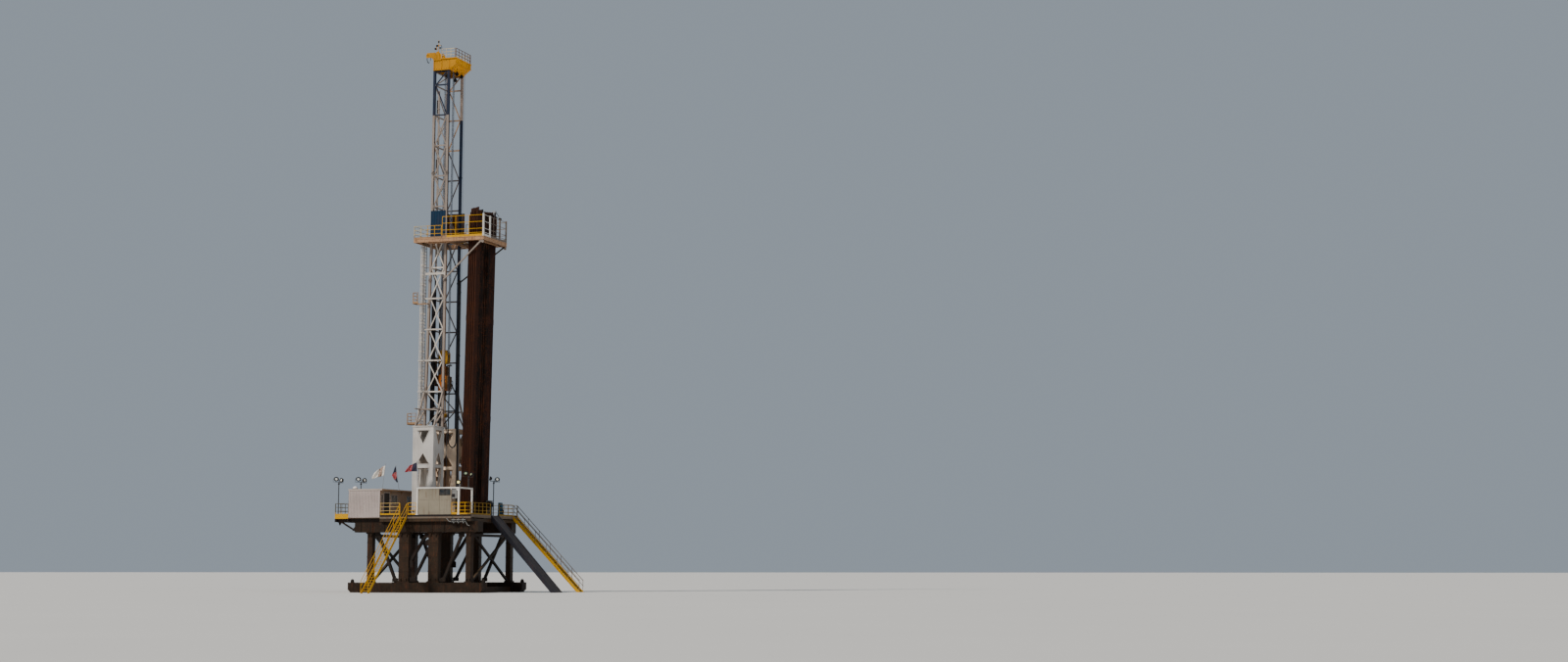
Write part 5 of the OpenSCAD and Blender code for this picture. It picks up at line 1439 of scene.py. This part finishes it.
class RIG_OT_hoist(bpy.types.Operator):
    """Block cheeks and sheaves, top drive motors, pipes and fins, links, elevator and dolly rollers"""

    bl_idname = "rig.hoist"
    bl_label = "Travelling gear"

    def execute(self, context):
        for build in (self.block, self.drive, self.links, self.dolly):
            build(Shape(Matrix.Translation((0, 0, BLOCK_SHAFT))))
        return {"FINISHED"}

    def block(self, shape):
        for lane in range(-2, 3):
            grooved_sheave(shape, (0, lane * 9, 0), 40, 7, 1)
        shape.rod((0, -36, 0), (0, 36, 0), 8, 28, 2)
        cheek = ring(45, 20, turn=math.pi) + [(-45, -62), (-30, -90), (30, -90), (45, -62)]
        for s in SIDES:
            shape.prism(cheek, s * 24, s * 29)
            shape.prism(ring(34, 24), s * 29, s * 31)
            shape.turned([(0, 0), (0, 13), (4, 13), (6, 8), (6, 0)], (0, s * 31, 0), (0, s, 0), 24, 2)
        shape.box((-30, -24, -88), (30, 24, -52))
        for s in SIDES:
            shape.box((s * 41, -24, -6), (s * 45, 24, 8))
        shape.piece("block_assembly", ["block_yellow", "greasy_steel", "oily_dark"], 0.8, "hoist",
                    "yellow_steel", "travelling_block")
        places = ring(36, 8, turn=math.pi) + [(x, -74) for x in (-22, -8, 8, 22)]
        heads = [((x, s * 30, BLOCK_SHAFT + z), (0, s, 0)) for x, z in places for s in SIDES]
        bolts("block_bolts", heads, "oily_dark", 2.6, 4, "hoist")

    def drive(self, shape):
        housing = [(-38, -330), (-28, -340), (34, -340), (42, -332), (42, -214), (28, -190), (-26, -190),
                   (-38, -204)]
        shape.prism(housing, -50, 50)
        for y, slot in ((-34, 0), (34, 1)):
            shape.turned([(0, 0), (0, 22), (70, 22), (78, 15), (80, 0)], (10, y, -190), Z, 28, slot)
            for k in range(8):
                shape.turned([(0, 21), (0, 24.5), (2.5, 24.5), (2.5, 21)], (10, y, 8 * k - 184), Z, 24, 1)
            shape.rod((10, y, -113), (10, y, -105), 9, 16, 2)
        cylinder = [(0, 0), (0, 22), (6, 26), (30, 26), (34, 23), (50, 23), (50, 0)]
        shape.turned(cylinder, (0, 0, -385), Z, 32, 2)
        shape.rod((0, 0, -430), (0, 0, -370), 9, 24, 2)
        shape.rod((0, 0, -424), (0, 0, -410), 14, 24, 2)
        shape.prism(taper(0, -190, 12, -92, 8), -10, 10, slot=2)
        shape.box((42, -45, -320), (55, 45, -206), 1)
        for k in range(10):
            shape.box((55, -40, 11 * k - 315), (57, 40, 11 * k - 310), 2)
        for s in SIDES:
            shape.bar((0, s * 20, -90), (0, s * 44, -250), 9, 9, 1)
            shape.rod((0, s * 46, -250), (0, s * 54, -250), 11, 18, 2)
            shape.box((-34, s * 50 - 3, -322), (-8, s * 50 + 3, -216))
            shape.box((2, s * 50 - 4, -330), (38, s * 50 + 4, -262), 1)
            shape.rod((20, s * 50 - 5, -236), (20, s * 50 + 5, -236), 15, 20, 2)
        shape.swept([(28, 0, -105), (60, 0, -105), (76, -8, -105), (80, -24, -105), (80, -52, -105),
                     (80, -60, -112)], 6.6, 12, 2)
        shape.swept([(38, 46, -230), (60, 54, -250), (60, 54, -300), (40, 42, -350), (20, 24, -368)],
                    3.4, 8, 2)
        shape.piece("drive_assembly", ["motor_orange", "drive_ochre", "oily_dark"], 0.8, "hoist",
                    "orange_steel", "top_drive")
        heads = [((x, s * 51, BLOCK_SHAFT + z), (0, s, 0)) for x in (-36, -3, 40) for z in (-318, -222)
                 for s in SIDES]
        bolts("drive_bolts", heads, "oily_dark", 2.6, 3, "hoist")

    def links(self, shape):
        for s in SIDES:
            loop = [(0, s * y, z) for y, z in ((31, -338), (35, -356), (31, -420), (31, -540), (38, -572))]
            shape.swept(loop, 4.2, 12)
            shape.rod((0, s * 27, -573), (0, s * 36, -573), 9, 18, 1)
        shape.turned([(0, 10.4), (0, 32), (6, 37), (28, 37), (34, 30), (34, 10.4)], (0, 0, -590), Z, 36)
        shape.box((30, -9, -586), (44, 9, -562), 1)
        shape.rod((40, 0, -586), (40, 0, -562), 3, 12, 1)
        shape.piece("link_assembly", ["block_yellow", "oily_dark"], 0.6, "hoist", "yellow_steel", "elevator")

    def dolly(self, shape):
        for z in (-294, -54):
            for s in SIDES:
                shape.rod((-54, s * 82, z + 6), (-54, s * 82, z + 18), 8, 16)
                shape.box((-58, s * 86 - 3, z + 2), (-46, s * 86 + 3, z + 22))
        shape.piece("dolly_rollers", ["oily_dark"], 0.5, "hoist")


class RIG_OT_lamps(bpy.types.Operator):
    """Twin floodlights on their poles, with yokes, rims, lenses and base flanges"""

    bl_idname = "rig.lamps"
    bl_label = "Floodlights"

    def execute(self, context):
        shape = Shape()
        roof, wall = span("doghouse_end_walls")[1][2] + 10, span("wind_wall_frame")[1][2]
        bright, warm, dull = 2, 3, 4
        poles = [((-810, -478, FLOOR), 308, (50, -30), bright), ((-581, -480, roof), 66, (46, 78), bright),
                 ((475, 100, FLOOR), 322, (-66, 60), bright), ((413, -300, wall), 105, (30, -34), dull)]
        for (x, y, z), tall, turns, glass in poles:
            head = z + tall
            shape.rod((x, y, z), (x, y, head), 4.4, 14)
            shape.turned([(0, 0), (0, 10), (3, 10), (3, 5), (9, 3.4), (9, 0)], (x, y, z), Z, 18)
            shape.bar((x - 36, y, head + 2), (x + 36, y, head - 4), 6, 5, 1)
            shape.box((x - 7, y - 5, head - 24), (x + 7, y + 5, head - 12), 1)
            for s, turn in zip(SIDES, turns):
                aim = Matrix.Rotation(math.radians(turn), 4, "Z") @ Matrix.Rotation(math.radians(-10), 4, "X")
                place = Matrix.Translation((x + s * 31, y, head + 20 - s * 5)) @ aim
                floodlight(shape, place, sizes().lamp / MM / 2, glass)
        shape.box((404, -497, wall), (412, -490, wall + 26), 1)
        floodlight(shape, Matrix.Translation((409, -491, wall + 43)), 28, warm)
        shape.piece("floodlights", ["lamp_steel", "lamp_body", "lamp_lens", "lamp_glow", "lamp_dull"], 0.5,
                    slot="lamp_grey", replaces="light_poles")
        return {"FINISHED"}


def floodlight(shape, place, r, lens):
    """A flattened bowl with a thick rim, a sunk lens that faces -Y, fins on its back and a yoke."""
    lamp = Shape(place @ Matrix.Diagonal((1, 1, 0.8, 1)))
    bowl = [(-6, 0), (-6, r * 0.56), (-11, r * 0.6), (-12, r * 0.98), (-8, r), (2, r * 0.84),
            (10, r * 0.5), (13, 0)]
    lamp.turned(bowl, (0, 0, 0), Y, 24, 1)
    lamp.turned([(-8, 0), (-7, r * 0.54), (-5, r * 0.54), (-5, 0)], (0, 0, 0), Y, 24, lens)
    for x in (-r * 0.4, 0, r * 0.4):
        lamp.box((x - 1, 0, -r * 0.55), (x + 1, 12, r * 0.55), 1)
    yoke, foot = Shape(place), -r * 0.8 - 5
    for s in SIDES:
        yoke.box((s * (r + 1), -2, foot), (s * (r + 3), 2, 2))
    yoke.box((-r - 3, -2, foot - 2), (r + 3, 2, foot + 0.5))
    shape.take(lamp)
    shape.take(yoke)


class RIG_OT_flags(bpy.types.Operator):
    """Three cloth flags, two streaming and one drooping along its pole"""

    bl_idname = "rig.flags"
    bl_label = "Flags"

    def execute(self, context):
        red, navy = (150, 16, 26), (16, 14, 44)
        # The leaning flag is cream cloth whose brown middle field is painted shade of its folds.
        cream, shade = (214, 208, 198), (140, 116, 98)
        corner = span("doghouse_end_walls")[1]
        roof, x = corner[2] + 10, corner[0] + 6
        wall = span("wind_wall_frame")
        post, wall_top = wall[0][0] + 6.5, wall[1][2]
        cloth_flag("leaning_flag", (x + 25.5, -470, roof + 214),
                   [(0, 0), (-30, -10), (-72, -38), (-110, -62), (-132, -92)],
                   [(-14, -92), (-40, -98), (-66, -104), (-100, -112), (-132, -122)],
                   5.5, (cream, shade, cream), (0.24, 0.56), "flags")
        cloth_flag("drooping_flag", (x - 38, -150, roof + 224),
                   [(0, 0), (4, -40), (11, -84), (16, -120), (24, -150)],
                   [(-4, 0), (-22, -40), (-36, -86), (-14, -122), (12, -150)],
                   3.5, (navy, red, navy), (0.42, 0.8))
        cloth_flag("waving_flag", (post - 12.5, -493.5, wall_top + 229),
                   [(0, 0), (-32, -13), (-66, -28), (-96, -52), (-118, -83)],
                   [(4, -84), (-30, -84), (-62, -84), (-92, -87), (-118, -90)],
                   4.5, (navy, red, red), (0.44, 0.8))
        caps = Shape()
        for foot, dx, tall in (((x, -470, roof), 28, 225), ((x, -150, roof), -38, 232),
                               ((post, -493.5, wall_top), -12, 235)):
            knob = (foot[0] + dx, foot[1], foot[2] + tall - 2)
            caps.turned([(0, 0), (1, 3), (4, 4), (7, 3), (8, 0)], knob)
            caps.turned([(0, 0), (0, 6.4), (3, 6.4), (8, 3.4), (8, 0)], foot)
        caps.piece("pole_caps", ["galvanised"], slot="flag_pole")
        return {"FINISHED"}


def along(line, t):
    """The place at share t of a line of equal stretches, each place as (x, z)."""
    part = min(int(t * (len(line) - 1)), len(line) - 2)
    rest = t * (len(line) - 1) - part
    return [a + (b - a) * rest for a, b in zip(line[part], line[part + 1])]


def cloth_flag(name, corner, upper, lower, depth, tones, limits, replaces=None):
    """A sheet between two edges, given from the pole to the free end, with folds that deepen along it."""
    across, down = 32, 14
    row = across + 1
    points = []
    for j in range(down + 1):
        for i in range(row):
            u, v = i / across, j / down
            a, b = along(upper, u), along(lower, u)
            fold = math.sin(u * 9 - v * 7) + 0.6 * math.sin(u * 21 - v * 10) + 0.3 * math.sin(v * 9 + u * 3)
            points.append(Vector(corner) + Vector((a[0] + (b[0] - a[0]) * v, depth * fold * min(1, u * 2.5),
                                                   a[1] + (b[1] - a[1]) * v)))
    faces = [[j * row + i, j * row + i + 1, (j + 1) * row + i + 1, (j + 1) * row + i]
             for j in range(down) for i in range(across)]
    mesh = bpy.data.meshes.new(name)
    mesh.from_pydata([p * MM for p in points], [], faces)
    layer = mesh.uv_layers.new(name="cut")
    for polygon in mesh.polygons:
        for loop in polygon.loop_indices:
            j, i = divmod(mesh.loops[loop].vertex_index, row)
            layer.data[loop].uv = (i / across, 1 - j / down)
    mesh.polygons.foreach_set("use_smooth", [True] * len(mesh.polygons))
    flag_cloth(name + "_cloth", [linear(*tone) for tone in tones], limits)
    mesh.materials.append(MATERIALS[name + "_cloth"])
    made = placed(name, mesh)
    thick = made.modifiers.new("thickness", "SOLIDIFY")
    thick.thickness, thick.offset = 0.0006, 0
    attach(made, "rig")
    if replaces:
        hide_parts(replaces)


def flag_cloth(name, tones, limits):
    """Woven cloth in three plain fields along its length, with a pale streak in the middle one."""
    tree, _ = blank(name)
    cut = node(tree, "ShaderNodeUVMap", uv_map="cut").outputs[0]
    first, second = (use(tree, "Paint Band", Vector=cut, Direction=(1, 0.12, 0), From=limit)["Past"]
                     for limit in limits)
    turned = node(tree, "ShaderNodeMapping",
                  {"Vector": cut, "Scale": (2.0, 9.0, 1.0), "Rotation": (0, 0, 0.3)})
    streak = remap(tree, noise(tree, turned.outputs[0], 1.6, 3.0), 0.52, 0.68)
    middle = mixed(tree, streak, tones[1], linear(196, 170, 166))
    base = mixed(tree, second, mixed(tree, first, tones[0], middle), tones[2])
    warp, weft = (use(tree, "Plate Seams", Vector=cut, Direction=way, Pitch=0.012, Width=0.005)["Seam"]
                  for way in (X, Y))
    weave = maths(tree, "ADD", warp, weft)
    surface(tree, Base_Color=mixed(tree, maths(tree, "MULTIPLY", weave, 0.08), base, (0.02, 0.02, 0.02, 1)),
            Roughness=0.8, Normal=bumped(tree, 0.3, 0.0003, weave))


# Stage, panel and start


class RIG_OT_stage(bpy.types.Operator):
    """Plain pale floor, key light and soft sky"""

    bl_idname = "rig.stage"
    bl_label = "Stage"

    def execute(self, context):
        stage, reach = context.scene.rig_stage, 150
        mesh = bpy.data.meshes.new("stage_floor")
        mesh.from_pydata([(-reach, -reach, 0), (reach, -reach, 0), (reach, reach, 0), (-reach, reach, 0)], [],
                         [(0, 1, 2, 3)])
        ground = placed("stage_floor", mesh)
        tree, where = blank("stage_floor")
        tone = tuple(stage.floor)
        shade = tuple(0.94 * c for c in tone[:3]) + (1,)
        surface(tree, Base_Color=mixed(tree, noise(tree, where, 0.8), tone, shade), Roughness=0.9)
        mesh.materials.append(MATERIALS["stage_floor"])
        world = bpy.data.worlds.new("soft_sky")
        context.scene.world = world
        world.use_nodes = True
        back = world.node_tree.nodes["Background"]
        back.inputs[0].default_value = stage.sky
        back.inputs[1].default_value = stage.fill
        for name, power, angle, turn, tilt, tone in (
            ("key_light", stage.sun, 8, -38, 50, (1.0, 0.95, 0.88)),
            ("fill_light", stage.sun * 0.16, 40, 60, 62, (0.9, 0.95, 1.0)),
        ):
            light = bpy.data.lights.new(name, "SUN")
            light.energy, light.angle, light.color = power, math.radians(angle), tone
            placed(name, light).rotation_euler = (math.radians(tilt), 0, math.radians(turn))
        return {"FINISHED"}


OPERATORS = [
    RIG_OT_camera, RIG_OT_cords, RIG_OT_paint, RIG_OT_substructure, RIG_OT_floor, RIG_OT_doghouse,
    RIG_OT_wind_wall, RIG_OT_columns, RIG_OT_mast, RIG_OT_ladder, RIG_OT_board, RIG_OT_crown, RIG_OT_hoist,
    RIG_OT_lamps, RIG_OT_flags, RIG_OT_stage,
]


class RIG_PT_panel(bpy.types.Panel):
    """Lists the rig's pieces and their settings"""

    bl_label = "Drilling rig"
    bl_space_type = "VIEW_3D"
    bl_region_type = "UI"
    bl_category = "Rig"

    def draw(self, context):
        for group_name in ("rig_paint", "rig_sizes", "rig_stage"):
            settings = getattr(context.scene, group_name)
            box = self.layout.box()
            for key in settings.bl_rna.properties.keys():
                if key not in ("rna_type", "name"):
                    box.prop(settings, key)
        for operator in OPERATORS:
            self.layout.operator(operator.bl_idname)


CLASSES = [RigPaint, RigSizes, RigStage, *OPERATORS, RIG_PT_panel]


def register():
    for item in CLASSES:
        bpy.utils.register_class(item)
    bpy.types.Scene.rig_paint = bpy.props.PointerProperty(type=RigPaint)
    bpy.types.Scene.rig_sizes = bpy.props.PointerProperty(type=RigSizes)
    bpy.types.Scene.rig_stage = bpy.props.PointerProperty(type=RigStage)


def unregister():
    del bpy.types.Scene.rig_paint, bpy.types.Scene.rig_sizes, bpy.types.Scene.rig_stage
    for item in reversed(CLASSES):
        bpy.utils.unregister_class(item)


def main():
    register()
    finishes()
    for operator in OPERATORS:
        space, name = operator.bl_idname.split(".")
        getattr(getattr(bpy.ops, space), name)()


if __name__ == "__main__":
    main()
